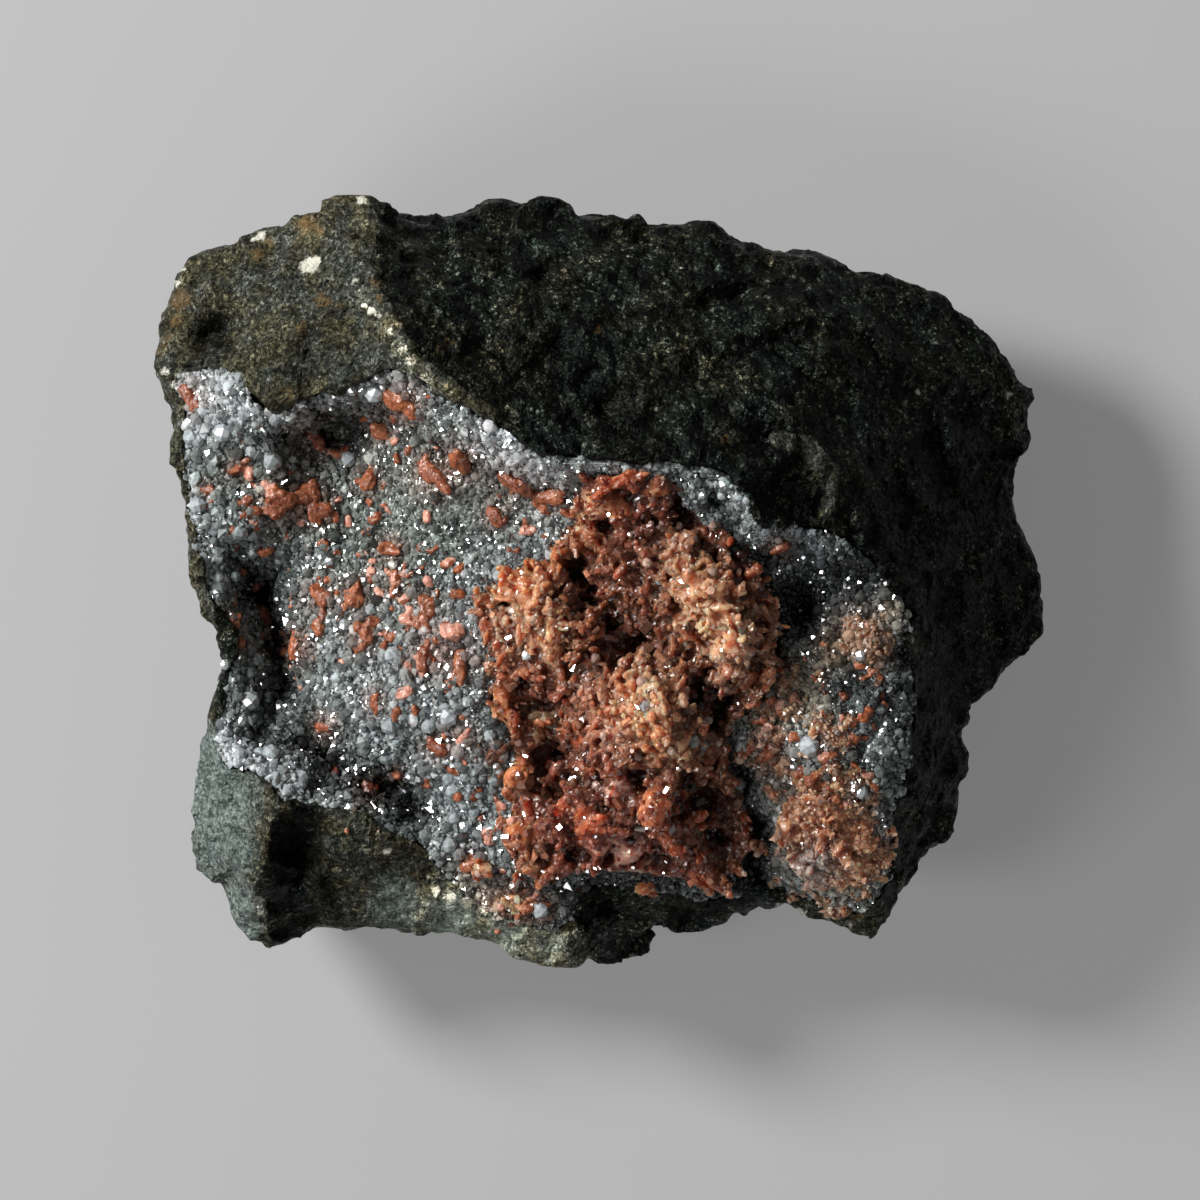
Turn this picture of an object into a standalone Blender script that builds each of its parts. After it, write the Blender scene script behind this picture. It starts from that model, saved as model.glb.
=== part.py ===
"""Gmelinite with analcime: a hand-sized piece of broken basalt whose open hollow is lined with small analcime
crystals, with red-orange gmelinite grown on them. It lies on its broken back with the crystals facing up.

+X is to the right and +Y away from the reader when the crystals are looked down on, +Z is up, and the origin is
the middle of the box on the resting surface. Places below are in millimetres; MM turns them into metres.
"""

from math import cos, radians, sin

import bmesh
import bpy
from mathutils import Euler, Matrix, Vector
from mathutils.bvhtree import BVHTree
from mathutils.geometry import delaunay_2d_cdt

MM = 0.001

# Driving dimensions
GAP = 0.3 * MM              # clear space between two pieces that touch
BED_GAP = 0.4 * MM          # the same measured straight down, for surfaces that slope
DRUSE_THICKNESS = 2.2 * MM  # crust of analcime on the basalt
CENTRE_DEPTH = 4.5 * MM     # how deep the central gmelinite goes into the hollow's lining
RIGHT_DEPTH = 2.6 * MM      # the same for the thinner patch of gmelinite on the right
BASE_LEVEL = 0.0            # the flat broken face that the specimen rests on
SEAT_DEPTH = 9.0 * MM       # how far below the surface the cutter that seats the crystals reaches
GMELINITE_LIFT = 0.45       # middle of a gmelinite crystal over the surface, in shares of its thickness
ANALCIME_LIFT = 0.18        # the same for an analcime crystal, in shares of its width
RIM_BEVEL = 0.34            # sloping rim of a gmelinite crystal, in shares of its thickness
SHARPEST_CORNER = 0.5       # sharper corners of a border are drawn in as if they had this sharpness
CLOSE = 1e-7                # two points closer than this, in metres, are one
CLOSE_LANDMARKS = 1e-6      # two landmarks closer than this, in millimetres, are one

# The outline seen from above, from the left corner round by the top, each point with the height of its edge
OUTLINE = (
    (-44.8, 21.7, 26.5), (-44.0, 25.8, 26.5), (-42.9, 28.3, 26.0), (-42.3, 30.4, 26.0), (-41.7, 32.1, 25.5),
    (-38.2, 33.7, 27.0), (-34.4, 35.0, 28.0), (-31.9, 35.4, 28.5), (-30.2, 36.7, 29.5), (-26.9, 37.7, 31.0),
    (-26.0, 38.6, 31.0), (-23.2, 38.8, 32.0), (-22.5, 38.0, 32.5), (-18.4, 36.4, 30.5), (-15.8, 36.2, 29.5),
    (-13.0, 37.0, 28.0), (-11.3, 38.2, 26.5), (-9.2, 38.5, 26.0), (-5.7, 37.9, 26.0), (-2.5, 36.7, 26.5),
    (3.2, 36.1, 26.0), (6.8, 35.9, 25.5), (12.2, 35.7, 24.0), (15.2, 33.3, 24.0), (22.3, 32.9, 21.5),
    (26.2, 31.3, 20.0), (31.8, 29.9, 17.5), (34.0, 28.6, 17.0), (37.5, 26.8, 15.5), (39.8, 23.8, 15.0),
    (42.0, 21.1, 14.0), (42.8, 18.7, 13.5), (42.3, 16.3, 14.0), (42.7, 13.0, 13.5), (41.8, 9.1, 14.0),
    (42.0, 5.3, 13.5), (43.8, 2.1, 12.5), (44.0, -2.2, 12.5), (44.8, -4.5, 12.0), (42.8, -7.2, 13.0),
    (40.4, -8.4, 14.0), (39.0, -10.5, 14.5), (37.0, -11.6, 15.0), (35.7, -15.5, 15.5), (36.5, -17.5, 15.0),
    (36.1, -23.2, 15.0), (35.5, -25.2, 15.0), (32.5, -26.6, 16.0), (31.3, -28.9, 16.5), (29.3, -31.5, 18.0),
    (28.4, -33.5, 18.0), (27.1, -35.6, 17.5), (24.5, -34.6, 18.0), (21.5, -33.3, 19.0), (18.5, -32.0, 20.0),
    (16.2, -31.7, 19.5), (13.2, -32.8, 17.0), (12.4, -34.2, 15.5), (10.3, -34.8, 15.0), (6.0, -33.9, 15.5),
    (4.5, -34.5, 15.0), (2.7, -36.2, 12.5), (5.9, -35.0, 11.0), (5.2, -36.8, 11.0), (3.7, -37.8, 11.5),
    (0.0, -38.2, 13.0), (-1.0, -37.5, 15.5), (-1.6, -38.2, 17.5), (-2.7, -38.8, 18.5), (-5.5, -37.8, 18.5),
    (-9.0, -36.8, 18.0), (-10.2, -35.5, 18.0), (-16.0, -34.8, 17.0), (-23.0, -35.0, 16.0), (-30.2, -34.8, 15.0),
    (-32.5, -35.8, 15.0), (-35.2, -36.3, 16.0), (-36.8, -34.3, 16.0), (-37.8, -29.9, 16.5), (-40.4, -28.3, 15.5),
    (-41.5, -25.5, 16.0), (-41.4, -21.7, 17.5), (-40.1, -18.0, 20.0), (-39.3, -13.9, 22.0), (-38.2, -9.7, 23.5),
    (-37.4, -6.2, 24.5), (-38.2, -4.4, 25.0), (-39.6, -3.0, 25.0), (-39.7, -1.5, 25.5), (-40.8, 0.3, 26.0),
    (-41.3, 5.3, 27.0), (-42.0, 9.3, 27.5), (-42.9, 13.8, 27.5), (-42.2, 17.8, 27.5), (-43.7, 20.1, 27.0),
)

# The border of the crystal lining, in the same order
DRUSE_BORDER = (
    (-42.5, 20.2, 28.0), (-41.2, 20.4, 28.7), (-39.7, 21.2, 30.0), (-37.0, 21.3, 32.0), (-35.4, 20.4, 33.5),
    (-35.5, 18.8, 34.0), (-33.8, 17.2, 35.0), (-31.7, 17.2, 35.8), (-29.8, 18.2, 36.3), (-26.2, 19.1, 37.3),
    (-22.8, 20.3, 38.8), (-21.2, 21.2, 40.0), (-19.6, 21.0, 41.2), (-16.5, 19.0, 42.0), (-13.0, 17.0, 42.4),
    (-9.5, 15.2, 43.0), (-6.5, 13.0, 42.3), (-3.0, 12.3, 41.8), (2.0, 12.2, 41.2), (6.5, 11.9, 40.5),
    (10.5, 11.6, 40.0), (13.6, 10.2, 39.6), (14.8, 8.0, 39.0), (16.0, 6.2, 38.2), (18.8, 5.6, 37.0),
    (22.0, 5.0, 35.6), (25.0, 3.6, 34.4), (27.6, 1.6, 33.2), (29.6, -1.0, 32.2), (30.6, -4.5, 31.4),
    (30.9, -9.5, 30.6), (30.9, -14.5, 29.8), (30.4, -19.5, 29.0), (28.8, -23.5, 27.0), (29.0, -28.5, 24.6),
    (28.0, -31.3, 22.4), (26.4, -33.2, 20.8), (23.8, -32.6, 20.6), (20.0, -31.1, 21.0), (16.2, -30.2, 20.8),
    (12.5, -31.2, 19.8), (10.0, -31.6, 19.8), (7.5, -30.6, 20.6), (3.5, -30.2, 21.0), (0.0, -30.0, 21.5),
    (-2.0, -31.0, 22.5), (-3.0, -33.0, 22.2), (-4.4, -34.6, 21.5), (-7.0, -34.3, 21.3), (-10.0, -33.2, 22.2),
    (-13.0, -31.3, 23.2), (-16.2, -27.6, 25.0), (-18.0, -25.8, 25.8), (-20.8, -25.4, 26.4), (-23.0, -23.6, 26.8),
    (-26.0, -22.8, 27.2), (-31.8, -22.0, 27.6), (-32.6, -20.2, 27.0), (-35.0, -18.6, 26.0), (-37.4, -18.2, 24.6),
    (-38.0, -15.8, 24.4), (-37.8, -12.0, 24.6), (-36.9, -8.6, 25.0), (-36.2, -5.8, 25.4), (-37.0, -3.6, 26.0),
    (-38.5, -2.0, 26.4), (-39.7, 1.0, 27.0), (-40.2, 5.3, 28.0), (-40.9, 9.5, 28.5), (-41.7, 13.8, 28.6),
    (-41.0, 17.6, 28.6),
)

# Borders of the two masses of gmelinite, in the same order
CENTRE_BORDER = (
    (-1.5, 10.0, 38.5), (3.5, 10.8, 39.6), (7.5, 9.8, 38.6), (10.5, 6.5, 36.5), (14.0, 3.0, 35.0),
    (16.8, -1.0, 34.5), (17.5, -6.0, 33.0), (16.0, -10.5, 32.0), (13.0, -13.5, 31.0), (12.5, -18.5, 29.0),
    (14.5, -22.5, 26.5), (15.0, -26.5, 24.0), (12.8, -29.3, 22.2), (8.5, -29.4, 22.4), (4.0, -28.8, 24.0),
    (-1.0, -28.5, 25.0), (-5.0, -29.5, 25.0), (-8.5, -28.0, 25.8), (-9.8, -24.5, 26.5), (-8.0, -20.5, 27.5),
    (-8.5, -16.0, 29.0), (-10.5, -12.0, 30.5), (-11.0, -7.0, 31.5), (-12.5, -2.0, 31.8), (-9.0, 1.0, 33.0),
    (-5.0, 2.5, 34.0), (-3.5, 6.0, 36.0),
)
RIGHT_BORDER = (
    (22.0, -20.0, 30.5), (26.0, -21.5, 29.0), (27.2, -25.5, 26.5), (26.8, -29.5, 23.5), (23.5, -30.3, 22.8),
    (19.5, -28.5, 24.5), (18.0, -24.5, 27.0), (19.0, -21.5, 29.0),
)

# Broken edges in the basalt: each runs through these points
BROW_RIDGE = ((-23.2, 38.8, 32.0), (-22.8, 31.8, 38.0), (-21.6, 27.3, 40.5), (-18.6, 22.7, 42.8),
              (-14.0, 18.9, 43.4), (-9.5, 15.2, 43.0))
NOSE_RIDGE = ((-27.0, 31.5, 36.0), (-30.0, 25.0, 36.9), (-31.0, 20.5, 36.9), (-31.7, 17.2, 35.8))
SHOULDER_RIDGE = ((15.2, 33.3, 24.0), (16.5, 28.5, 29.0), (16.0, 19.0, 35.3), (20.5, 13.5, 35.2),
                  (23.5, 11.0, 34.8), (22.0, 5.0, 35.6))
HEEL_RIDGE = ((-31.8, -22.0, 27.6), (-33.2, -26.5, 26.2), (-34.2, -30.5, 24.2), (-33.8, -34.2, 18.5),
              (-35.2, -36.3, 16.0))
FOOT_RIDGE = ((-2.0, -31.0, 22.5), (-1.5, -34.5, 20.5), (-1.0, -37.5, 15.5))
RIDGES = (BROW_RIDGE, NOSE_RIDGE, SHOULDER_RIDGE, HEEL_RIDGE, FOOT_RIDGE)

# Heights of single spots on the basalt faces
ROCK_SPOTS = (
    # Block at the upper left, with its dark dent
    (-38.5, 28.5, 31.0), (-38.3, 25.0, 29.6), (-35.0, 28.0, 33.0), (-27.3, 22.2, 36.3), (-34.5, 23.5, 33.8),
    (-24.0, 24.5, 39.0),
    # Long dark face at the top
    (-16.0, 30.5, 36.5), (-10.0, 27.0, 36.5), (-4.0, 25.0, 35.6), (-12.0, 21.5, 40.2), (-2.0, 18.5, 38.6),
    (3.0, 29.5, 32.0), (9.0, 24.0, 34.2), (8.0, 17.5, 37.4),
    # Notched shoulder over the hollow, and the flank that falls to the right
    (18.5, 9.0, 35.0), (27.0, 13.0, 30.0), (24.5, 23.5, 28.5), (31.5, 20.5, 24.0), (35.5, 13.0, 21.5),
    (29.0, 7.0, 29.5), (35.0, 2.5, 22.5), (35.0, -4.0, 23.5), (38.8, -2.5, 18.0), (33.4, -13.0, 22.5),
    (33.3, -20.0, 20.8),
    # Block at the lower left and the foot below the lining
    (-38.0, -22.5, 22.0), (-37.5, -26.5, 21.0), (-30.0, -25.5, 23.6), (-30.5, -30.0, 20.2), (-26.5, -28.0, 23.2),
    (-25.0, -25.0, 26.0), (-22.5, -30.0, 22.0), (-17.0, -31.5, 22.2), (-3.4, -36.6, 20.4), (2.0, -34.0, 16.5),
    (7.0, -32.6, 17.4),
)

# Heights of single spots on the crystal lining
DRUSE_SPOTS = (
    # Bumps inside the left rim
    (-37.5, 14.5, 30.0), (-33.0, 12.5, 29.5), (-38.5, 10.5, 28.6), (-36.0, 6.0, 29.4), (-32.0, 8.5, 28.5),
    # Deep pocket under the nose
    (-26.8, 15.2, 27.5), (-25.0, 13.0, 27.5), (-28.5, 12.0, 26.8), (-31.5, 14.6, 29.0),
    # Slope that climbs to the brow
    (-22.0, 16.5, 31.0), (-22.5, 11.0, 29.5), (-24.5, 6.5, 27.5), (-28.8, 7.3, 27.8), (-17.0, 13.5, 33.2),
    (-12.0, 11.0, 35.0), (-7.5, 9.3, 36.2), (-3.6, 8.8, 37.2), (-18.0, 7.0, 31.5), (-11.0, 4.5, 33.2),
    (-19.0, -1.0, 30.0), (-26.0, 1.5, 27.3),
    # Long hollow behind the left rim
    (-36.5, 2.0, 25.0), (-34.0, -0.5, 20.5), (-32.5, -4.5, 19.5), (-32.0, -9.0, 20.0), (-34.8, -5.0, 22.0),
    (-29.5, -1.0, 26.0), (-29.3, -6.5, 26.0), (-28.8, -11.0, 25.0), (-30.5, 3.0, 25.0),
    # Raised field left of the centre
    (-24.5, -6.5, 28.0), (-18.0, -8.5, 30.2), (-14.5, -3.5, 31.2), (-14.0, -11.5, 30.6), (-22.0, -13.0, 28.5),
    # Hollow above the lower left block
    (-35.5, -12.0, 23.5), (-33.0, -15.5, 22.0), (-29.0, -16.5, 20.5), (-26.0, -19.0, 19.5), (-22.5, -21.0, 19.5),
    (-19.0, -21.5, 21.0), (-25.0, -14.5, 26.0), (-20.5, -17.5, 26.0), (-16.0, -19.5, 26.0), (-12.5, -17.0, 28.8),
    (-14.5, -24.0, 25.0), (-11.6, -28.0, 25.2), (-7.0, -31.5, 23.8),
    # Ground to the right of the gmelinite
    (20.5, -2.5, 30.6), (18.6, 2.0, 33.2), (24.5, 0.0, 31.8), (22.5, -6.0, 33.2), (27.0, -6.0, 33.4),
    (27.2, -11.0, 32.0), (21.0, -10.5, 31.8), (17.5, -14.5, 30.4), (22.5, -15.5, 32.2), (27.5, -17.0, 31.0),
    (16.4, -19.0, 28.6),
)

# Heights of single spots on the gmelinite
CENTRE_SPOTS = (
    # Arch of crystals below the brow
    (0.5, 6.5, 38.0), (4.5, 8.0, 39.0), (8.0, 4.0, 38.2), (4.0, 3.5, 38.3), (8.5, -1.0, 38.2),
    # Gaps between the lobes
    (-2.5, 1.0, 33.0), (0.5, -1.5, 32.5), (2.5, -5.0, 32.0), (8.5, -6.5, 33.8), (-4.5, -13.0, 29.0),
    (-4.5, -18.5, 27.5),
    # Bright lobe, middle lobe and left lobe
    (12.0, -1.5, 39.5), (13.5, -6.5, 38.6), (4.5, -10.5, 37.5), (7.0, -14.5, 38.0), (2.0, -15.0, 36.0),
    (9.0, -18.5, 34.0), (-4.5, -4.0, 35.0), (-6.5, -0.5, 35.2), (-3.0, -9.0, 33.0),
    # Blades at the bottom
    (1.0, -21.0, 32.0), (6.0, -23.0, 33.5), (-4.0, -24.0, 29.5), (2.0, -26.0, 30.0), (9.5, -26.0, 30.0),
    (11.3, -22.0, 28.5),
)
RIGHT_SPOTS = ((22.8, -24.5, 29.3), (23.8, -27.6, 27.0))

# Levels of the sides below the outline: share of the edge's height, and share of the outline's width
SIDE_LEVELS = ((0.80, 0.992), (0.55, 0.965), (0.28, 0.90), (-0.08, 0.78))

# Planes that break the sides and the back into facets: heading in degrees, lean of the outward normal below the
# horizon in degrees, and the plane's distance from the middle and its height there in millimetres
BREAK_PLANES = (
    (172, 16, 45.5, 19.0), (128, 20, 48.8, 19.0), (104, 16, 40.5, 19.0), (80, 26, 38.0, 17.0),
    (60, 30, 42.4, 14.0), (20, 28, 45.6, 9.5), (-4, 34, 45.2, 8.0), (-30, 30, 46.4, 9.0), (-58, 30, 43.0, 10.0),
    (-84, 24, 37.6, 9.5), (-106, 34, 40.1, 9.0), (215, 24, 47.8, 11.0), (236, 32, 49.0, 10.0),
    (194, 24, 46.4, 15.0), (148, 18, 50.2, 18.0), (12, 56, 42.0, 3.5), (-44, 58, 40.0, 3.0), (46, 54, 43.0, 5.0),
    (92, 48, 34.0, 5.5), (132, 52, 40.0, 6.0), (174, 50, 36.5, 5.5), (222, 56, 40.0, 4.0), (-80, 52, 34.0, 4.0),
)

# Single gmelinite crystals: middle, length along the plate, thickness, heading and roll in degrees
GMELINITE_CRYSTALS = (
    (-13.5, 12.2, 4.2, 2.0, 80, 8), (-16.6, 11.0, 4.2, 1.7, -32, -6), (-8.4, 10.6, 3.8, 1.8, -25, 10),
    (-23.2, 9.8, 2.8, 1.5, 60, 0), (-28.6, 14.6, 3.6, 1.6, -58, 12), (-32.2, 7.4, 4.0, 2.0, 18, -8),
    (-28.2, 6.4, 3.2, 1.7, -15, 6), (-19.6, 17.6, 3.6, 2.2, -28, 4), (-21.8, 14.2, 2.6, 1.4, -35, -10),
    (-39.7, 18.2, 3.0, 1.6, -62, 0), (-36.3, 11.4, 2.2, 1.5, 30, 14), (-10.4, 6.6, 2.6, 1.6, -55, 6),
    (-21.4, 3.4, 2.6, 1.4, 20, -12), (-23.6, -1.2, 2.8, 1.3, 86, 4), (-20.2, -0.4, 2.4, 1.3, 70, 0),
    (-17.6, -7.6, 3.2, 1.5, 84, 8), (-14.0, -7.9, 3.6, 1.5, 88, -4), (-23.5, -5.6, 2.8, 1.2, 78, 6),
    (-22.4, -11.6, 2.4, 1.2, 80, 0), (-16.4, -16.4, 2.8, 1.8, -30, 8), (-23.3, -20.6, 3.4, 1.8, 86, 5),
    (-28.0, -14.0, 2.8, 1.3, 6, 0), (-12.9, -28.0, 2.6, 1.6, 22, 6), (-8.0, -31.9, 3.2, 1.4, -36, 0),
    (16.9, -16.8, 3.0, 1.6, 12, 4), (18.0, 3.6, 2.4, 1.6, 40, 8),
)

# Single analcime crystals that stand out of the lining: middle and width
ANALCIME_CRYSTALS = (
    (-37.6, 15.2, 2.4), (-22.9, 18.6, 2.4), (-33.0, 12.0, 2.4), (-36.2, 5.2, 2.6), (-25.4, 11.0, 2.2),
    (-35.4, -12.3, 2.5), (-33.2, -17.2, 2.2), (-30.0, -19.9, 2.3), (-15.6, -13.2, 2.2), (-20.6, -7.0, 2.1),
    (-24.0, -17.6, 2.2), (-14.4, -22.6, 2.0), (-15.0, -26.0, 2.2), (-5.4, -32.8, 2.6), (21.6, -16.6, 2.6),
    (-11.9, 13.6, 2.2), (25.6, -3.0, 2.0),
)

# Materials: colour, roughness, metallic
BASALT = ("basalt", (0.050, 0.055, 0.045, 1.0), 0.85, 0.0)
ANALCIME = ("analcime", (0.62, 0.66, 0.66, 1.0), 0.15, 0.0)
GMELINITE = ("gmelinite", (0.62, 0.20, 0.08, 1.0), 0.25, 0.0)


def clear_scene():
    for old in list(bpy.data.objects):
        bpy.data.objects.remove(old)


def make_material(name, colour, roughness, metallic):
    """One Principled material per mineral."""
    material = bpy.data.materials.new(name)
    material.use_nodes = True
    shader = material.node_tree.nodes["Principled BSDF"]
    shader.inputs["Base Color"].default_value = colour
    shader.inputs["Roughness"].default_value = roughness
    shader.inputs["Metallic"].default_value = metallic
    return material


def add_object(name, bm, material):
    """Turns a bmesh into a named object with one material."""
    bmesh.ops.recalc_face_normals(bm, faces=bm.faces)
    mesh = bpy.data.meshes.new(name)
    bm.to_mesh(mesh)
    bm.free()
    if material:
        mesh.materials.append(material)
    made = bpy.data.objects.new(name, mesh)
    bpy.context.scene.collection.objects.link(made)
    return made


def inside(point, border):
    """True if a point, seen from above, is inside a closed border."""
    hit = False
    for a, b in zip(border, border[1:] + border[:1]):
        if (a[1] > point.y) != (b[1] > point.y):
            if point.x < a[0] + (point.y - a[1]) * (b[0] - a[0]) / (b[1] - a[1]):
                hit = not hit
    return hit


def landmarks_and_edges():
    """All landmarks once, and the index pairs of the borders and ridges that the facets have to follow."""
    index, edges = {}, []

    def number(point):
        return index.setdefault(point, len(index))

    for border in (OUTLINE, DRUSE_BORDER, CENTRE_BORDER, RIGHT_BORDER):
        corners = [number(point) for point in border]
        edges += list(zip(corners, corners[1:] + corners[:1]))
    for ridge in RIDGES:
        corners = [number(point) for point in ridge]
        edges += list(zip(corners, corners[1:]))
    for spot in ROCK_SPOTS + DRUSE_SPOTS + CENTRE_SPOTS + RIGHT_SPOTS:
        number(spot)
    return list(index), edges


def front_surface():
    """The whole front as facets between the landmarks. A facet's material_index is its zone."""
    points, edges = landmarks_and_edges()
    flat = [Vector(point[:2]) for point in points]
    ring = list(range(len(OUTLINE)))[::-1]
    triangles_inside = 1
    _, _, triangles, _, _, _ = delaunay_2d_cdt(flat, edges, [ring], triangles_inside, CLOSE_LANDMARKS)
    bm = bmesh.new()
    corners = [bm.verts.new(Vector(point) * MM) for point in points]
    for triangle in triangles:
        face = bm.faces.new([corners[i] for i in triangle])
        face.material_index = zone_of(face.calc_center_median() / MM)
    bmesh.ops.recalc_face_normals(bm, faces=bm.faces)
    if sum(face.normal.z for face in bm.faces) < 0:
        bmesh.ops.reverse_faces(bm, faces=bm.faces)
    return bm


ROCK, LINING, CENTRE, RIGHT = range(4)


def zone_of(point):
    """Which piece shows at a point of the front."""
    if inside(point, CENTRE_BORDER):
        return CENTRE
    if inside(point, RIGHT_BORDER):
        return RIGHT
    return LINING if inside(point, DRUSE_BORDER) else ROCK


def only_zones(bm, zones):
    """Deletes the facets of other zones, and what they leave loose."""
    others = [face for face in bm.faces if face.material_index not in zones]
    bmesh.ops.delete(bm, geom=others, context="FACES")


def lower(verts, depth):
    for vert in verts:
        vert.co.z -= depth


def shrink_border(bm, tree):
    """Draws the open border of a surface inwards by the gap, along the front."""
    moves = {}
    for vert in bm.verts:
        rim = [edge for edge in vert.link_edges if edge.is_boundary]
        if rim:
            inward = Vector((0, 0, 0))
            for edge in rim:
                along = edge.verts[1].co - edge.verts[0].co
                across = Vector((-along.y, along.x, 0)).normalized()
                towards = edge.link_faces[0].calc_center_median() - edge.verts[0].co
                inward += across if across.dot(towards) > 0 else -across
            share = max(inward.length_squared / (2 * len(rim)), SHARPEST_CORNER)
            moves[vert] = inward.normalized() * GAP / share ** 0.5
    for vert, move in moves.items():
        vert.co = on_front(tree, vert.co + move)[0]


def zone_verts(bm, zones):
    """Vertices that touch a facet of these zones."""
    return {vert for face in bm.faces if face.material_index in zones for vert in face.verts}


def lining_depths():
    """How far the underside of the lining lies below the front at each landmark: deeper below the gmelinite."""
    bm = front_surface()
    depths = {}
    for vert in bm.verts:
        depths[vert.co.x, vert.co.y] = DRUSE_THICKNESS
    for zone, depth in ((CENTRE, CENTRE_DEPTH), (RIGHT, RIGHT_DEPTH)):
        for vert in zone_verts(bm, {zone}):
            depths[vert.co.x, vert.co.y] = DRUSE_THICKNESS + depth + BED_GAP
    bm.free()
    return depths


def sink_zone(bm, zones, depth_of):
    """Extrudes the facets of some zones straight down, which leaves an upright step at their border."""
    faces = [face for face in bm.faces if face.material_index in zones]
    made = bmesh.ops.extrude_face_region(bm, geom=faces)["geom"]
    bmesh.ops.delete(bm, geom=faces, context="FACES")
    for vert in [item for item in made if isinstance(item, bmesh.types.BMVert)]:
        vert.co.z -= depth_of(vert.co)


def add_sides(bm):
    """Draws the outline down in levels that narrow and lose its small notches, then closes the bottom."""
    heights = {}
    for share, width in SIDE_LEVELS:
        rim = [edge for edge in bm.edges if edge.is_boundary]
        below = {}
        for item in bmesh.ops.extrude_edge_only(bm, edges=rim)["geom"]:
            if isinstance(item, bmesh.types.BMVert):
                upright = [edge for edge in item.link_edges if not edge.is_boundary and edge.link_faces]
                above = next(edge.other_vert(item) for edge in upright if is_upright(edge))
                below[item] = above
        for vert, above in below.items():
            heights[vert] = heights.get(above, above.co.z)
        smoothed = {}
        for vert, above in below.items():
            beside = [edge.other_vert(vert).co for edge in vert.link_edges if edge.is_boundary]
            smoothed[vert] = (vert.co * 2 + beside[0] + beside[1]) / 4
        for vert, place in smoothed.items():
            vert.co = Vector((place.x * width, place.y * width, heights[vert] * share))
    bmesh.ops.holes_fill(bm, edges=[edge for edge in bm.edges if edge.is_boundary], sides=0)
    bmesh.ops.recalc_face_normals(bm, faces=bm.faces)


def is_upright(edge):
    """True for an edge just extruded, whose ends are still in one place."""
    return edge.calc_length() < CLOSE


def cut_away(bm, point, outward):
    """Cuts off what lies beyond a plane, and closes the cut with one flat face."""
    cut = bmesh.ops.bisect_plane(
        bm, geom=bm.verts[:] + bm.edges[:] + bm.faces[:], plane_co=point, plane_no=outward, clear_outer=True,
        dist=CLOSE)
    rim = [item for item in cut["geom_cut"] if isinstance(item, bmesh.types.BMEdge)]
    bmesh.ops.holes_fill(bm, edges=[edge for edge in rim if edge.is_boundary], sides=0)


def plane_from(heading, lean, distance, height):
    """A point on a side plane and its outward normal."""
    turn, tilt = radians(heading), radians(lean)
    outwards = Vector((cos(turn), sin(turn), 0))
    normal = outwards * cos(tilt) - Vector((0, 0, 1)) * sin(tilt)
    return outwards * distance * MM + Vector((0, 0, height * MM)), normal


def build_matrix(material):
    """The basalt: faceted front with a sunken bed for the lining, leaning sides, and a flat face to rest on."""
    bm = front_surface()
    depths = lining_depths()
    sink_zone(bm, {LINING, CENTRE, RIGHT}, lambda co: depths[co.x, co.y] + BED_GAP)
    add_sides(bm)
    for plane in BREAK_PLANES:
        cut_away(bm, *plane_from(*plane))
    cut_away(bm, Vector((0, 0, BASE_LEVEL)), Vector((0, 0, -1)))
    bmesh.ops.triangulate(bm, faces=bm.faces[:])
    return add_object("basalt_matrix", bm, material)


def build_druse(tree, material):
    """The lining of analcime: one crust, with beds for the two masses of gmelinite."""
    bm = front_surface()
    depths = lining_depths()
    only_zones(bm, {LINING, CENTRE, RIGHT})
    depth_below = [depths[vert.co.x, vert.co.y] for vert in bm.verts]
    shrink_border(bm, tree)
    underside = bm.copy()
    for vert, depth in zip(underside.verts, depth_below):
        vert.co.z -= depth
    sink_zone(bm, {CENTRE}, lambda co: CENTRE_DEPTH + BED_GAP)
    sink_zone(bm, {RIGHT}, lambda co: RIGHT_DEPTH + BED_GAP)
    return join_shells("analcime_druse", bm, underside, material)


def join_shells(name, top, underside, material):
    """Joins a surface and its underside into one closed shape by walls along their borders."""
    bmesh.ops.reverse_faces(underside, faces=underside.faces)
    scratch = bpy.data.meshes.new("underside")
    underside.to_mesh(scratch)
    underside.free()
    top.from_mesh(scratch)
    bpy.data.meshes.remove(scratch)
    bmesh.ops.bridge_loops(top, edges=[edge for edge in top.edges if edge.is_boundary])
    bmesh.ops.triangulate(top, faces=top.faces[:])
    return add_object(name, top, material)


def build_cluster(name, zone, depth, tree, material):
    """A mass of gmelinite that fills its bed in the lining."""
    bm = front_surface()
    only_zones(bm, {zone})
    shrink_border(bm, tree)
    underside = bm.copy()
    lower(underside.verts, depth)
    return join_shells(name, bm, underside, material)


def build_seat():
    """Cutter that follows the front at a gap above it, so that a crystal cut by it sits on the surface."""
    bm = front_surface()
    lower(bm.verts, -BED_GAP)
    underside = bm.copy()
    lower(underside.verts, SEAT_DEPTH)
    seat = join_shells("seat_cutter", bm, underside, None)
    seat.hide_render = True
    seat.display_type = "WIRE"
    return seat


def front_tree():
    bm = front_surface()
    tree = BVHTree.FromBMesh(bm)
    bm.free()
    return tree


def on_front(tree, place):
    """The point of the front above or below a place, and the front's direction there."""
    high = Vector((place.x, place.y, 1.0))
    point, normal, _, _ = tree.ray_cast(high, Vector((0, 0, -1)))
    return point, normal


def seat_crystal(made, seat):
    """Cuts the crystal's underside to the surface that it grows on."""
    cut = made.modifiers.new("seated on the lining", "BOOLEAN")
    cut.operation = "DIFFERENCE"
    cut.solver = "EXACT"
    cut.object = seat


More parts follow.
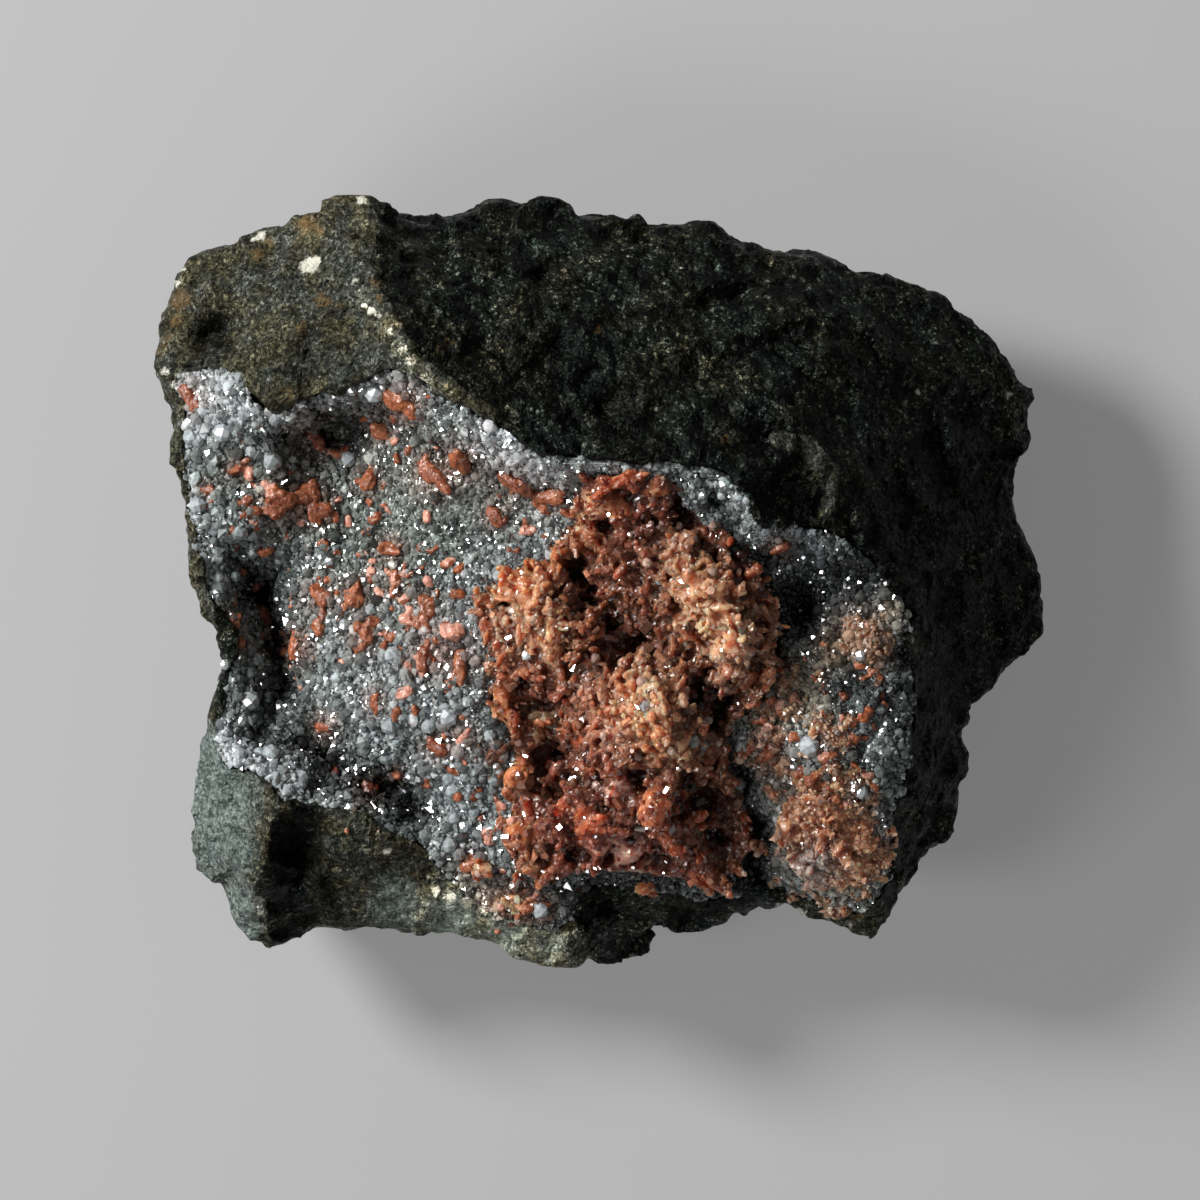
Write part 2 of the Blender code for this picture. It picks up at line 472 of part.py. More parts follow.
def gmelinite_shape(length, thickness):
    """A thick six-sided plate whose rims slope, lying on its edge along X."""
    bm = bmesh.new()
    radius = length / 2
    bmesh.ops.create_cone(
        bm, cap_ends=True, segments=6, radius1=radius, radius2=radius, depth=thickness)
    rims = [edge for edge in bm.edges if abs(edge.verts[0].co.z - edge.verts[1].co.z) < CLOSE]
    bmesh.ops.bevel(
        bm, geom=rims, offset=thickness * RIM_BEVEL, offset_type="OFFSET", segments=1, profile=0.5, affect="EDGES",
        material=-1)
    return bm


def analcime_shape(width):
    """A trapezohedron: 24 kites, from a cube whose split faces are drawn to the crystal's corners."""
    bm = bmesh.new()
    bmesh.ops.create_cube(bm, size=2.0)
    bmesh.ops.subdivide_edges(bm, edges=bm.edges[:], cuts=1, use_grid_fill=True)
    reach = {1: 1.0, 2: 2 / 3, 3: 1 / 2}
    for vert in bm.verts:
        corners = sum(abs(value) > 0.5 for value in vert.co)
        vert.co *= reach[corners] * width / 2
    return bm


def build_gmelinite_crystals(tree, seat, material):
    """Plates that stand on edge on the lining, each cut to sit on it."""
    for count, (x, y, length, thickness, heading, roll) in enumerate(GMELINITE_CRYSTALS, 1):
        bm = gmelinite_shape(length * MM, thickness * MM)
        place, normal = on_front(tree, Vector((x, y, 0)) * MM)
        on_edge = Matrix.Rotation(radians(90 + roll), 4, "X")
        turned = Matrix.Rotation(radians(heading), 4, "Z")
        leaning = Vector((0, 0, 1)).rotation_difference(normal).to_matrix().to_4x4()
        lift = Matrix.Translation(place + normal * thickness * GMELINITE_LIFT * MM)
        bmesh.ops.transform(bm, matrix=lift @ leaning @ turned @ on_edge, verts=bm.verts)
        seat_crystal(add_object(f"gmelinite_crystal_{count:02d}", bm, material), seat)


def build_analcime_crystals(tree, seat, material):
    """Trapezohedra sunk by a third of their width, each turned its own way."""
    for count, (x, y, width) in enumerate(ANALCIME_CRYSTALS, 1):
        bm = analcime_shape(width * MM)
        place, normal = on_front(tree, Vector((x, y, 0)) * MM)
        turned = Euler((0.7 * count, 1.1 * count, 1.9 * count)).to_matrix().to_4x4()
        lift = Matrix.Translation(place + normal * width * ANALCIME_LIFT * MM)
        bmesh.ops.transform(bm, matrix=lift @ turned, verts=bm.verts)
        seat_crystal(add_object(f"analcime_crystal_{count:02d}", bm, material), seat)


def main():
    clear_scene()
    basalt = make_material(*BASALT)
    analcime = make_material(*ANALCIME)
    gmelinite = make_material(*GMELINITE)
    tree = front_tree()
    build_matrix(basalt)
    build_druse(tree, analcime)
    build_cluster("gmelinite_cluster_centre", CENTRE, CENTRE_DEPTH, tree, gmelinite)
    build_cluster("gmelinite_cluster_right", RIGHT, RIGHT_DEPTH, tree, gmelinite)
    seat = build_seat()
    build_gmelinite_crystals(tree, seat, gmelinite)
    build_analcime_crystals(tree, seat, analcime)


main()
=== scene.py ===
# %% [markdown]
# # Gmelinite with analcime on basalt
# The real object is a piece of dark basalt, broken open across a gas bubble. The bubble is lined with a
# sugary crust of grey to white analcime crystals, and red-orange gmelinite has grown over the middle of
# it. The model lies on its broken back, so the camera looks straight down on the crystals, as the
# photograph does. The frame that is loaded first holds the plain solids, in metres. Everything below is
# built around them.

# %% Load the frame
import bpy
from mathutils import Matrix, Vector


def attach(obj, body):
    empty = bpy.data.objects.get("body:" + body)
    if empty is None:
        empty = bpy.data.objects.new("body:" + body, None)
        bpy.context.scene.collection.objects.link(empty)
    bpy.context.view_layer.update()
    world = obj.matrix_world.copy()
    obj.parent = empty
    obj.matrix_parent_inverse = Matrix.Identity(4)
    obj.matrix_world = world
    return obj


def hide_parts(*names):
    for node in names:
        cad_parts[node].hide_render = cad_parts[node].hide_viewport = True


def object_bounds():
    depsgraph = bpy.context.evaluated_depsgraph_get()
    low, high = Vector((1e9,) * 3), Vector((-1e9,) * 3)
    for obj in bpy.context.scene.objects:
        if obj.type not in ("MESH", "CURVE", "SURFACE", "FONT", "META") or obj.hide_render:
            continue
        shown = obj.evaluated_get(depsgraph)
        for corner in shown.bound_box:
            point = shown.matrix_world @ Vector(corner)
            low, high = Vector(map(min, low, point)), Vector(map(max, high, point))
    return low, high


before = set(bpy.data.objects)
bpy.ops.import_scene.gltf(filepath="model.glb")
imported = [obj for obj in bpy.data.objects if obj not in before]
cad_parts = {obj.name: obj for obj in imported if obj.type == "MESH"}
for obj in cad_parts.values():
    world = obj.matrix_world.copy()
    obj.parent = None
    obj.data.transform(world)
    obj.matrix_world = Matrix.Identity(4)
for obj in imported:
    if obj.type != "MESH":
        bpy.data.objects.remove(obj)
cad_low, cad_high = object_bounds()
print("solids:", len(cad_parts), "box in mm:", [round(v * 1000, 1) for v in cad_high - cad_low])

# %% [markdown]
# ## Measures
# Sizes in this lesson are easier to read in millimetres, so `MM` turns them into metres. Places on the
# specimen are written as they are read off the photograph's square of 1200 dots, a tenth of a millimetre
# each, and `spot` turns such a place into the frame's X and Y.

# %% Units and places
from itertools import product
from math import cos, pi, radians, sin

import bmesh
import bpy
import numpy as np
from mathutils import Euler, Matrix, Vector, kdtree, noise
from mathutils.bvhtree import BVHTree

MM = 0.001
DOT = 0.1 * MM
MIDDLE = (600, 583)


def spot(across, down):
    """X and Y in metres of a place in the photograph."""
    return Vector(((across - MIDDLE[0]) * DOT, (MIDDLE[1] - down) * DOT, 0))


print("left corner at", spot(152, 365) / MM)

# %% [markdown]
# ## Working copies
# A loaded solid is loose triangles and stays untouched. A copy of it has its doubles merged first, and a
# voxel remesh then gives it even, small faces all over, which is what displacement needs: sculpting a
# broken rock or a crust by hand would take hours, and a plain subdivision would keep the long thin
# triangles of the solid.


# %% Copies with even faces
def link(name, mesh):
    made = bpy.data.objects.new(name, mesh)
    bpy.context.scene.collection.objects.link(made)
    return made


def one_skin(name, bm, face_size):
    """Melts the closed shapes of a bmesh into one skin of small even faces."""
    rough = bpy.data.meshes.new(name + "_rough")
    bm.to_mesh(rough)
    bm.free()
    carrier = link(name + "_rough", rough)
    remesh = carrier.modifiers.new("even faces", "REMESH")
    remesh.mode = "VOXEL"
    remesh.voxel_size = face_size
    ready = carrier.evaluated_get(bpy.context.evaluated_depsgraph_get())
    mesh = bpy.data.meshes.new_from_object(ready)
    bpy.data.objects.remove(carrier)
    bpy.data.meshes.remove(rough)
    mesh.name = name
    print(name, "has", len(mesh.polygons), "faces")
    return link(name, mesh)


def even_copy(node, name, face_size):
    """A closed copy of a solid, remade of small even faces."""
    bm = bmesh.new()
    bm.from_mesh(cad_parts[node].data)
    bmesh.ops.remove_doubles(bm, verts=bm.verts, dist=1e-6)
    return one_skin(name, bm, face_size)


def read_points(mesh):
    """The points and their outward directions as arrays."""
    count = len(mesh.vertices)
    points = np.empty(count * 3, np.float32)
    outward = np.empty(count * 3, np.float32)
    mesh.vertices.foreach_get("co", points)
    mesh.vertex_normals.foreach_get("vector", outward)
    return points.reshape(-1, 3), outward.reshape(-1, 3)


def move_points(mesh, points):
    mesh.vertices.foreach_set("co", points.astype(np.float32).ravel())
    mesh.update()


def relax(mesh):
    """Rounds off the remesh's steps a little."""
    bm = bmesh.new()
    bm.from_mesh(mesh)
    bmesh.ops.smooth_vert(bm, verts=bm.verts, factor=0.5, use_axis_x=True, use_axis_y=True, use_axis_z=True)
    bm.to_mesh(mesh)
    bm.free()


# %% [markdown]
# ## How rock breaks
# Basalt breaks into small flat chips that meet at sharp steps, the large ones broken again into smaller
# ones. A smooth noise looks like clay, so each cell of a Voronoi pattern gets a plane that leans its own
# way. The way comes from Blender's own random numbers, so those get a seed first and every run breaks the
# rock alike.


# %% Chips and dents
noise.seed_set(5)
CELL_SPREAD = 7.31


def chip(point, size, lean):
    """Height of the leaning chip that a point lies on. CELL_SPREAD keeps neighbours from leaning alike."""
    scaled = point / size
    _, nearest = noise.voronoi(scaled)
    return (scaled - nearest[0]).dot(noise.noise_vector(nearest[0] * CELL_SPREAD)) * size * lean


def reach_of(points, across, down, radius):
    """How far points are from a round patch's middle, seen from above: 1 is its radius."""
    centre = spot(across, down)
    return np.hypot(points[:, 0] - centre.x, points[:, 1] - centre.y) / (radius * DOT)


def dent(points, across, down, radius, depth):
    """A rounded dent: how deep it is, in metres, at each of the points."""
    return np.exp(-(reach_of(points, across, down, radius) ** 2) * 1.6) * depth * MM


SOFT_EDGE = 0.6 * MM


def keep_in_box(points):
    """Keeps points inside the solids' box. Only the back is cut flat, the rest is drawn in softly."""
    for axis, side in ((0, 1), (0, -1), (1, 1), (1, -1), (2, 1)):
        limit = (cad_high if side > 0 else cad_low)[axis] * side
        left = limit - points[:, axis] * side
        drawn_in = SOFT_EDGE * np.exp(np.minimum(left - SOFT_EDGE, 0) / SOFT_EDGE)
        points[:, axis] = (limit - np.where(left < SOFT_EDGE, drawn_in, left)) * side
    np.maximum(points[:, 2], cad_low[2], out=points[:, 2])


def reshape(mesh, height_of, dents=(), sink=0.0):
    """Moves each point outward by height_of(point, direction), lowers the top and presses dents into it."""
    points, outward = read_points(mesh)
    pairs = zip(points.tolist(), outward.tolist())
    heights = [height_of(Vector(point), Vector(away)) for point, away in pairs]
    moved = points + outward * np.array(heights)[:, None]
    upward = np.clip(outward[:, 2] * 1.5, 0, 1)
    moved[:, 2] -= sink * (outward[:, 2] > -0.3)
    for across, down, radius, depth in dents:
        moved[:, 2] -= dent(points, across, down, radius, depth) * upward
    keep_in_box(moved)
    move_points(mesh, moved)


sample = [chip(Vector((step * MM, 0, 0)), 3 * MM, 0.5) / MM for step in range(8)]
print("chips along 8 mm rise by", [round(height, 2) for height in sample])

# %% [markdown]
# ## The block of basalt
# The block has chips of three sizes on top of each other, the small ones drawn out from the upper left to
# the lower right, as the rock is. The dents that can be told apart are pressed in one by one.

# %% Basalt
# Dents of the rock: place and radius in dots, depth in millimetres (minus for a bump)
ROCK_DENTS = (
    (216, 336, 19, 3.2), (240, 300, 40, 0.6), (300, 330, 12, -0.6), (262, 250, 22, 0.5),
    (345, 300, 26, 0.5), (218, 842, 4, 0.9), (241, 868, 4, 0.8), (300, 850, 30, 1.6), (330, 890, 26, 1.2),
    (365, 880, 16, -0.5), (820, 505, 12, 1.4), (800, 470, 30, -0.7), (700, 370, 45, 0.9),
    (900, 400, 40, 1.0), (560, 330, 40, -0.7), (965, 560, 30, 0.8), (640, 915, 14, 0.7),
    (540, 935, 18, -0.4), (620, 300, 30, 0.8), (480, 300, 26, 0.7), (556, 348, 20, 1.7),
    (604, 408, 15, 1.5), (542, 281, 14, 1.1), (778, 342, 22, 1.2), (413, 282, 12, 0.9),
    (830, 330, 40, -0.6), (300, 290, 16, 0.5), (200, 280, 20, -0.5), (340, 360, 20, -0.5),
    (430, 880, 26, 0.6),
)

ROCK_FACE = 0.505 * MM
BLOCK, FLAKE, CRUMB, GRAIN = 7 * MM, 2.8 * MM, 1.2 * MM, 0.6 * MM


def rock_height(point, _):
    """Chips of three sizes, gentle waves and a fine grain."""
    turned = Vector((point.x * 0.75 - point.y * 0.66, (point.x * 0.66 + point.y * 0.75) * 1.5, point.z))
    height = chip(point, BLOCK, 0.28) + chip(turned, FLAKE, 0.46) + chip(turned, CRUMB, 0.36)
    height += noise.fractal(point / (5 * MM), 0.9, 2.1, 4) * 0.20 * MM
    return height + noise.noise(turned / GRAIN) * 0.14 * MM


rock = even_copy("basalt_matrix", "basalt", ROCK_FACE)
relax(rock.data)
reshape(rock.data, rock_height, ROCK_DENTS)
relax(rock.data)

# %% [markdown]
# ## The crust under the crystals
# Between the crystals one sees a grey-green crust of very small grains. It is the same sheet as the solid
# lining, lowered by half a crystal so that the crystals' tips reach the solid's surface, and its sides
# grow into the rock to close the gap that the solids keep. Rounded Voronoi bumps make the grains.

# %% Crust
# Hollows in the lining that are deeper than the solid shows: place and radius in dots, depth in millimetres
HOLLOWS = (
    (338, 428, 24, 3.4), (322, 412, 14, 2.0), (236, 556, 20, 1.8), (262, 590, 24, 2.6),
    (285, 640, 20, 2.6), (288, 690, 20, 2.2), (255, 735, 18, 1.6), (330, 745, 20, 1.6),
    (385, 782, 26, 2.6), (412, 812, 20, 2.2), (735, 520, 16, 1.8), (770, 600, 22, 2.2),
    (800, 618, 22, 2.0), (745, 830, 34, 4.5), (740, 780, 22, 3.0), (755, 870, 24, 3.0),
    (800, 770, 7, 1.0), (500, 700, 14, 1.4), (540, 770, 16, 2.4), (715, 500, 14, 2.0),
    (905, 660, 12, 1.8), (908, 800, 18, 2.2), (905, 730, 8, 1.2), (912, 880, 14, 1.8),
    (850, 690, 18, 0.9), (905, 590, 12, 1.4), (800, 700, 10, 0.8), (860, 745, 12, 0.8),
    (870, 800, 9, 0.8),
)


def sugar(point, size, height):
    """Rounded grains: high in the middle of each Voronoi cell."""
    far, _ = noise.voronoi(point / size)
    return (0.45 - far[0]) * height


CRUST_FACE = 0.37 * MM
HALF_CRYSTAL = 0.5 * MM
CLOSE_THE_GAP = 0.42 * MM
CRUST_SIDE = 0.25


def crust_height(point, away):
    """Grains on top. Faces that look less upward than CRUST_SIDE grow into the rock."""
    waves = noise.fractal(point / (3.2 * MM), 0.8, 2.0, 3) * 0.45 * MM
    if away.z < CRUST_SIDE:
        return waves + CLOSE_THE_GAP
    return sugar(point, 1.3 * MM, 0.6 * MM) + sugar(point, 0.55 * MM, 0.22 * MM) + waves


crust = even_copy("analcime_druse", "analcime_crust", CRUST_FACE)
relax(crust.data)
reshape(crust.data, crust_height, HOLLOWS, sink=HALF_CRYSTAL)

# %% [markdown]
# ## Crystal shapes
# Analcime grows as a trapezohedron, a ball of 24 kite-shaped faces. A cube whose faces are split in four
# has just the right points: its corners, edge middles and face middles are only drawn in to their own
# distances. Gmelinite grows as a six-sided prism with sloping rims: a short cylinder of six sides with a
# bevel. The shapes are one unit wide and long, so a seat's sizes are the crystal's real sizes.


# %% Shapes
def finished(bm, name):
    bmesh.ops.recalc_face_normals(bm, faces=bm.faces)
    mesh = bpy.data.meshes.new(name)
    bm.to_mesh(mesh)
    bm.free()
    return mesh


def trapezohedron():
    bm = bmesh.new()
    bmesh.ops.create_cube(bm, size=2.0)
    bmesh.ops.subdivide_edges(bm, edges=bm.edges[:], cuts=1, use_grid_fill=True)
    reach = {1: 1 / 2, 2: 1 / 3, 3: 1 / 4}
    for vert in bm.verts:
        vert.co *= reach[sum(abs(value) > 0.5 for value in vert.co)]
    return finished(bm, "trapezohedron")


def prism(rim):
    """Six sides along X; a rim of 0 leaves the ends square."""
    bm = bmesh.new()
    bmesh.ops.create_cone(bm, cap_ends=True, segments=6, radius1=0.5, radius2=0.5, depth=1.0)
    bmesh.ops.rotate(bm, verts=bm.verts, matrix=Matrix.Rotation(pi / 2, 3, "Y"))
    if rim:
        ends = [edge for edge in bm.edges if abs(edge.verts[0].co.x - edge.verts[1].co.x) < 0.5]
        bmesh.ops.bevel(
            bm, geom=ends, offset=rim, offset_type="OFFSET", segments=1, profile=0.5, affect="EDGES",
            material=-1)
    return finished(bm, "prism")


def octahedron():
    bm = bmesh.new()
    bmesh.ops.create_uvsphere(bm, u_segments=4, v_segments=2, radius=0.5)
    return finished(bm, "octahedron")


SHAPES = {"trapezohedron": trapezohedron(), "barrel": prism(0.2), "needle": prism(0), "grain": octahedron()}
print({name: len(mesh.polygons) for name, mesh in SHAPES.items()})

# %% [markdown]
# ## Seats
# A crystal needs a seat: a place on the surface, the direction that it grows in, a size and a colour.
# Seats are drawn at random over the crust's triangles, larger triangles more often, and a seat too close
# to a taken one is dropped. The random numbers come from one seeded generator, so every run places the
# same crystals.

# %% Seats on a surface
SEED = 4242
chance = np.random.default_rng(SEED)


def draw_seats(mesh, wanted, facing=0.2):
    """Random places on the faces that look up, with their directions."""
    mesh.calc_loop_triangles()
    corners = np.empty(len(mesh.loop_triangles) * 3, np.int32)
    mesh.loop_triangles.foreach_get("vertices", corners)
    triangles = read_points(mesh)[0][corners.reshape(-1, 3)]
    across = np.cross(triangles[:, 1] - triangles[:, 0], triangles[:, 2] - triangles[:, 0])
    area = np.linalg.norm(across, axis=1)
    directions = across / np.maximum(area, 1e-20)[:, None]
    area[directions[:, 2] < facing] = 0
    pick = chance.choice(len(area), wanted, p=area / area.sum())
    first, second = chance.random(wanted), chance.random(wanted)
    fold = first + second > 1
    first[fold], second[fold] = 1 - first[fold], 1 - second[fold]
    start, one, two = triangles[pick].transpose(1, 0, 2)
    return start + first[:, None] * (one - start) + second[:, None] * (two - start), directions[pick]


def spread(places, sizes, closeness):
    """Numbers of the places that have no kept one nearer than closeness times the mean of their sizes."""
    cell = float(sizes.max()) * closeness
    taken, kept = {}, []
    near_cells = list(product((-1, 0, 1), repeat=3))
    for number, (place, size) in enumerate(zip(places, sizes)):
        key = tuple(np.floor(place / cell).astype(int))
        near = []
        for step in near_cells:
            near += taken.get((key[0] + step[0], key[1] + step[1], key[2] + step[2]), [])
        if near:
            apart = np.linalg.norm(places[near] - place, axis=1)
            if (apart < closeness * (size + sizes[near]) / 2).any():
                continue
        taken.setdefault(key, []).append(number)
        kept.append(number)
    return np.array(kept)


def turns(directions, wobble):
    """One rotation for each seat: Z along the direction, leaning by up to wobble, spun at random."""
    up = directions + chance.normal(0, wobble, (len(directions), 3))
    up /= np.linalg.norm(up, axis=1)[:, None]
    side = np.cross(up, chance.normal(0, 1, (len(directions), 3)))
    side /= np.linalg.norm(side, axis=1)[:, None]
    return np.stack([side, np.cross(up, side), up], axis=2)


def any_turns(count):
    """Rotations with no preferred direction."""
    return turns(np.zeros((count, 3)), 1.0)


print("random numbers start from", SEED)

# %% [markdown]
# ## Glints
# Here and there a crystal face mirrors the lamp and flashes white. A face does so when it looks halfway
# between the lamp and the eye. With thousands of small faces a few would do that by chance, but the
# photograph has more of them than a plain lamp gives, so a share of the crystals is turned until one of
# their faces looks that way.

# %% Turns that glint
KEY_HEADING, KEY_RISE = 152, 36
UP, DOWN = Vector((0, 0, 1)), Vector((0, 0, -1))


def towards(heading, rise):
    """The direction with a heading on the floor and a height above it, both in degrees."""
    turn, lift = radians(heading), radians(rise)
    return Vector((cos(turn) * cos(lift), sin(turn) * cos(lift), sin(lift)))


halfway = (towards(KEY_HEADING, KEY_RISE) + UP).normalized()
print("glinting faces look towards", halfway)


def glinting_turns(shape, count, wobble=0.05):
    """Rotations that bring one face of a shape to look halfway between the lamp and the eye."""
    faces = [face.normal.copy() for face in SHAPES[shape].polygons]
    found = np.empty((count, 3, 3))
    for number in range(count):
        aim = (halfway + Vector(chance.normal(0, wobble, 3).tolist())).normalized()
        swing = Matrix.Rotation(chance.uniform(0, 2 * pi), 3, aim)
        face = faces[chance.integers(len(faces))]
        found[number] = swing @ face.rotation_difference(aim).to_matrix()
    return found


# %% [markdown]
# ## Joining many crystals
# Thousands of small crystals are one mesh made from arrays: the shape's points times every seat's turn
# and size. Each crystal's colour goes into a colour attribute that the material reads, so that no two are
# quite alike.


# %% Join copies of a shape
def store_tint(mesh, colours):
    full = np.concatenate([np.asarray(colours, float), np.ones((len(colours), 1))], axis=1)
    tint = mesh.attributes.new("tint", "FLOAT_COLOR", "POINT")
    tint.data.foreach_set("color", full.astype(np.float32).ravel())


def join_copies(name, shape, places, rotations, sizes, colours):
    """One mesh with a copy of the shape at every place. sizes are one number or three for each."""
    mesh = SHAPES[shape]
    points, _ = read_points(mesh)
    sizes = np.asarray(sizes, float)
    if sizes.ndim == 1:
        sizes = np.repeat(sizes[:, None], 3, axis=1)
    copies = np.einsum("nij,nkj->nki", rotations, points[None] * sizes[:, None])
    flat = (copies + np.asarray(places)[:, None]).reshape(-1, 3)
    keep_in_box(flat)
    faces = [list(face.vertices) for face in mesh.polygons]
    starts = range(0, len(flat), len(points))
    shifted = [[start + corner for corner in face] for start in starts for face in faces]
    joined = bpy.data.meshes.new(name)
    joined.from_pydata(flat.tolist(), [], shifted)
    store_tint(joined, np.repeat(colours, len(points), axis=0))
    print(name, "joins", len(copies), "crystals,", len(shifted), "faces")
    return link(name, joined)


# %% [markdown]
# ## Colours over the specimen
# The lining isn't one colour. It is whitest along its upper and left rims, partly its own white and
# partly painted light where the rims face the lamp, dark green-grey with painted shade between very small
# grains and in its hollows, and stained tan and peach on the right. The gmelinite goes from peach on its
# lobes, partly painted light, to a deep red-brown in its gaps, partly painted shade. Soft round patches
# mix those colours, each with a place, a radius, a colour and a strength, because a wash of noise has no
# such places.

# %% Colours
WHITE = (0.66, 0.71, 0.73)
GREY = (0.36, 0.40, 0.41)
MOSS = (0.13, 0.155, 0.13)
# Near black: painted shade in hollows and in shadowed places
SHADOW_TONE = (0.025, 0.030, 0.030)
BLUE = (0.45, 0.54, 0.58)
TAN = (0.33, 0.235, 0.145)
CREAM = (0.55, 0.47, 0.35)
PEACH = (0.66, 0.33, 0.19)
ORANGE = (0.52, 0.180, 0.075)
RED = (0.44, 0.115, 0.048)
RUST = (0.29, 0.092, 0.035)
RED_BROWN = (0.22, 0.065, 0.026)
# Deep red and brown: partly the gmelinite's own colour, partly painted shade in its gaps and arch
DEEP_RED_AND_SHADE = (0.19, 0.046, 0.026)
BROWN_AND_SHADE = (0.095, 0.034, 0.020)
PINK = (0.58, 0.30, 0.225)
# Dark red: partly the gmelinite's own colour, partly painted shade in its arch and lower gaps
DARK_RED_AND_SHADE = (0.080, 0.022, 0.012)
# Pale peach: partly the lobes' own colour, partly painted light where they face the lamp
PALE_PEACH_AND_LIGHT = (0.70, 0.37, 0.22)
UMBER = (0.17, 0.105, 0.065)
print("white, grey and dark as brightness:", [round(sum(tone) / 3, 2) for tone in (WHITE, GREY, SHADOW_TONE)])

# %% [markdown]
# ## Patches of the lining
# The rims are white, partly painted light where they face the lamp. The hollows, the gap to the right of
# the mass and the right border are painted dark as shade. The order matters, since each patch is mixed
# over those before it.

# %% Lining patches
# Place and radius in dots, colour, strength
# White patches on the rims are partly painted light; dark patches are painted shade
LINING_PATCHES = (
    (200, 385, 40, WHITE, 0.6), (180, 430, 24, WHITE, 0.7), (230, 420, 36, WHITE, 0.35),
    (380, 385, 22, WHITE, 0.7), (505, 445, 24, WHITE, 0.95), (485, 432, 16, WHITE, 0.8),
    (530, 470, 26, WHITE, 0.9), (540, 482, 22, WHITE, 0.8), (745, 500, 16, WHITE, 0.8),
    (600, 466, 26, WHITE, 0.5), (660, 470, 26, GREY, 0.5), (775, 535, 20, BLUE, 0.6),
    (800, 555, 24, BLUE, 0.7), (205, 560, 26, WHITE, 0.5), (190, 500, 20, WHITE, 0.6),
    (470, 620, 34, WHITE, 0.7), (440, 640, 26, PINK, 0.4), (400, 700, 60, WHITE, 0.35),
    (520, 560, 36, WHITE, 0.4), (500, 545, 30, WHITE, 0.3), (430, 540, 60, MOSS, 0.6),
    (500, 520, 40, MOSS, 0.5), (400, 480, 50, MOSS, 0.45), (350, 560, 40, MOSS, 0.35),
    (340, 425, 30, SHADOW_TONE, 0.95), (270, 600, 36, SHADOW_TONE, 0.85), (250, 570, 26, SHADOW_TONE, 0.8),
    (290, 650, 24, SHADOW_TONE, 0.8), (260, 690, 40, MOSS, 0.6), (285, 700, 22, SHADOW_TONE, 0.7),
    (390, 790, 40, SHADOW_TONE, 0.8), (330, 745, 36, SHADOW_TONE, 0.5), (410, 815, 24, SHADOW_TONE, 0.7),
    (250, 480, 50, MOSS, 0.5), (320, 500, 50, MOSS, 0.5), (440, 760, 50, GREY, 0.4),
    (470, 790, 40, GREY, 0.4), (510, 710, 26, SHADOW_TONE, 0.6), (545, 750, 24, SHADOW_TONE, 0.7),
    (480, 830, 40, GREY, 0.5), (800, 600, 46, SHADOW_TONE, 0.95), (775, 650, 40, SHADOW_TONE, 0.95),
    (820, 640, 24, SHADOW_TONE, 0.8), (760, 560, 34, SHADOW_TONE, 0.8), (840, 580, 40, SHADOW_TONE, 0.85),
    (880, 570, 40, SHADOW_TONE, 0.9), (890, 612, 14, CREAM, 0.8), (862, 640, 24, PEACH, 0.65),
    (835, 655, 20, TAN, 0.8), (878, 655, 14, PEACH, 0.6), (850, 690, 30, SHADOW_TONE, 0.75),
    (835, 692, 16, BLUE, 0.5), (885, 700, 24, SHADOW_TONE, 0.8), (790, 690, 26, TAN, 0.8),
    (815, 700, 18, CREAM, 0.6), (765, 725, 24, TAN, 0.7), (770, 735, 12, PINK, 0.6),
    (738, 745, 12, BLUE, 0.6), (738, 785, 14, BLUE, 0.6), (812, 745, 16, WHITE, 0.8),
    (835, 740, 16, PEACH, 0.6), (845, 765, 22, MOSS, 0.7), (880, 740, 26, GREY, 0.5),
    (885, 780, 24, MOSS, 0.5), (770, 765, 18, PINK, 0.5), (790, 790, 20, TAN, 0.5),
    (830, 805, 26, ORANGE, 0.6), (850, 800, 16, PEACH, 0.6), (858, 815, 14, TAN, 0.7),
    (775, 840, 18, BLUE, 0.4), (790, 850, 24, TAN, 0.6), (820, 865, 30, GREY, 0.6),
    (845, 890, 20, CREAM, 0.5), (880, 850, 18, ORANGE, 0.6), (745, 840, 34, SHADOW_TONE, 0.97),
    (745, 880, 24, SHADOW_TONE, 0.95), (720, 800, 26, SHADOW_TONE, 0.9), (470, 905, 30, TAN, 0.6),
    (510, 905, 24, PEACH, 0.6), (560, 900, 30, SHADOW_TONE, 0.7), (640, 890, 50, SHADOW_TONE, 0.85),
    (700, 905, 30, SHADOW_TONE, 0.85), (902, 650, 14, SHADOW_TONE, 0.9), (906, 690, 16, SHADOW_TONE, 0.9),
    (250, 410, 9, WHITE, 0.7), (275, 417, 9, WHITE, 0.7), (305, 415, 9, WHITE, 0.7),
    (335, 397, 10, WHITE, 0.7), (360, 385, 11, WHITE, 0.7), (258, 768, 22, WHITE, 0.8),
    (300, 780, 20, WHITE, 0.75), (235, 752, 18, WHITE, 0.8), (340, 788, 14, WHITE, 0.6),
    (222, 725, 16, WHITE, 0.6), (906, 730, 14, SHADOW_TONE, 0.8), (904, 780, 14, SHADOW_TONE, 0.9),
    (896, 820, 10, SHADOW_TONE, 0.7), (860, 560, 24, SHADOW_TONE, 0.9), (900, 590, 10, SHADOW_TONE, 0.6),
)
print(len(LINING_PATCHES), "patches on the lining")
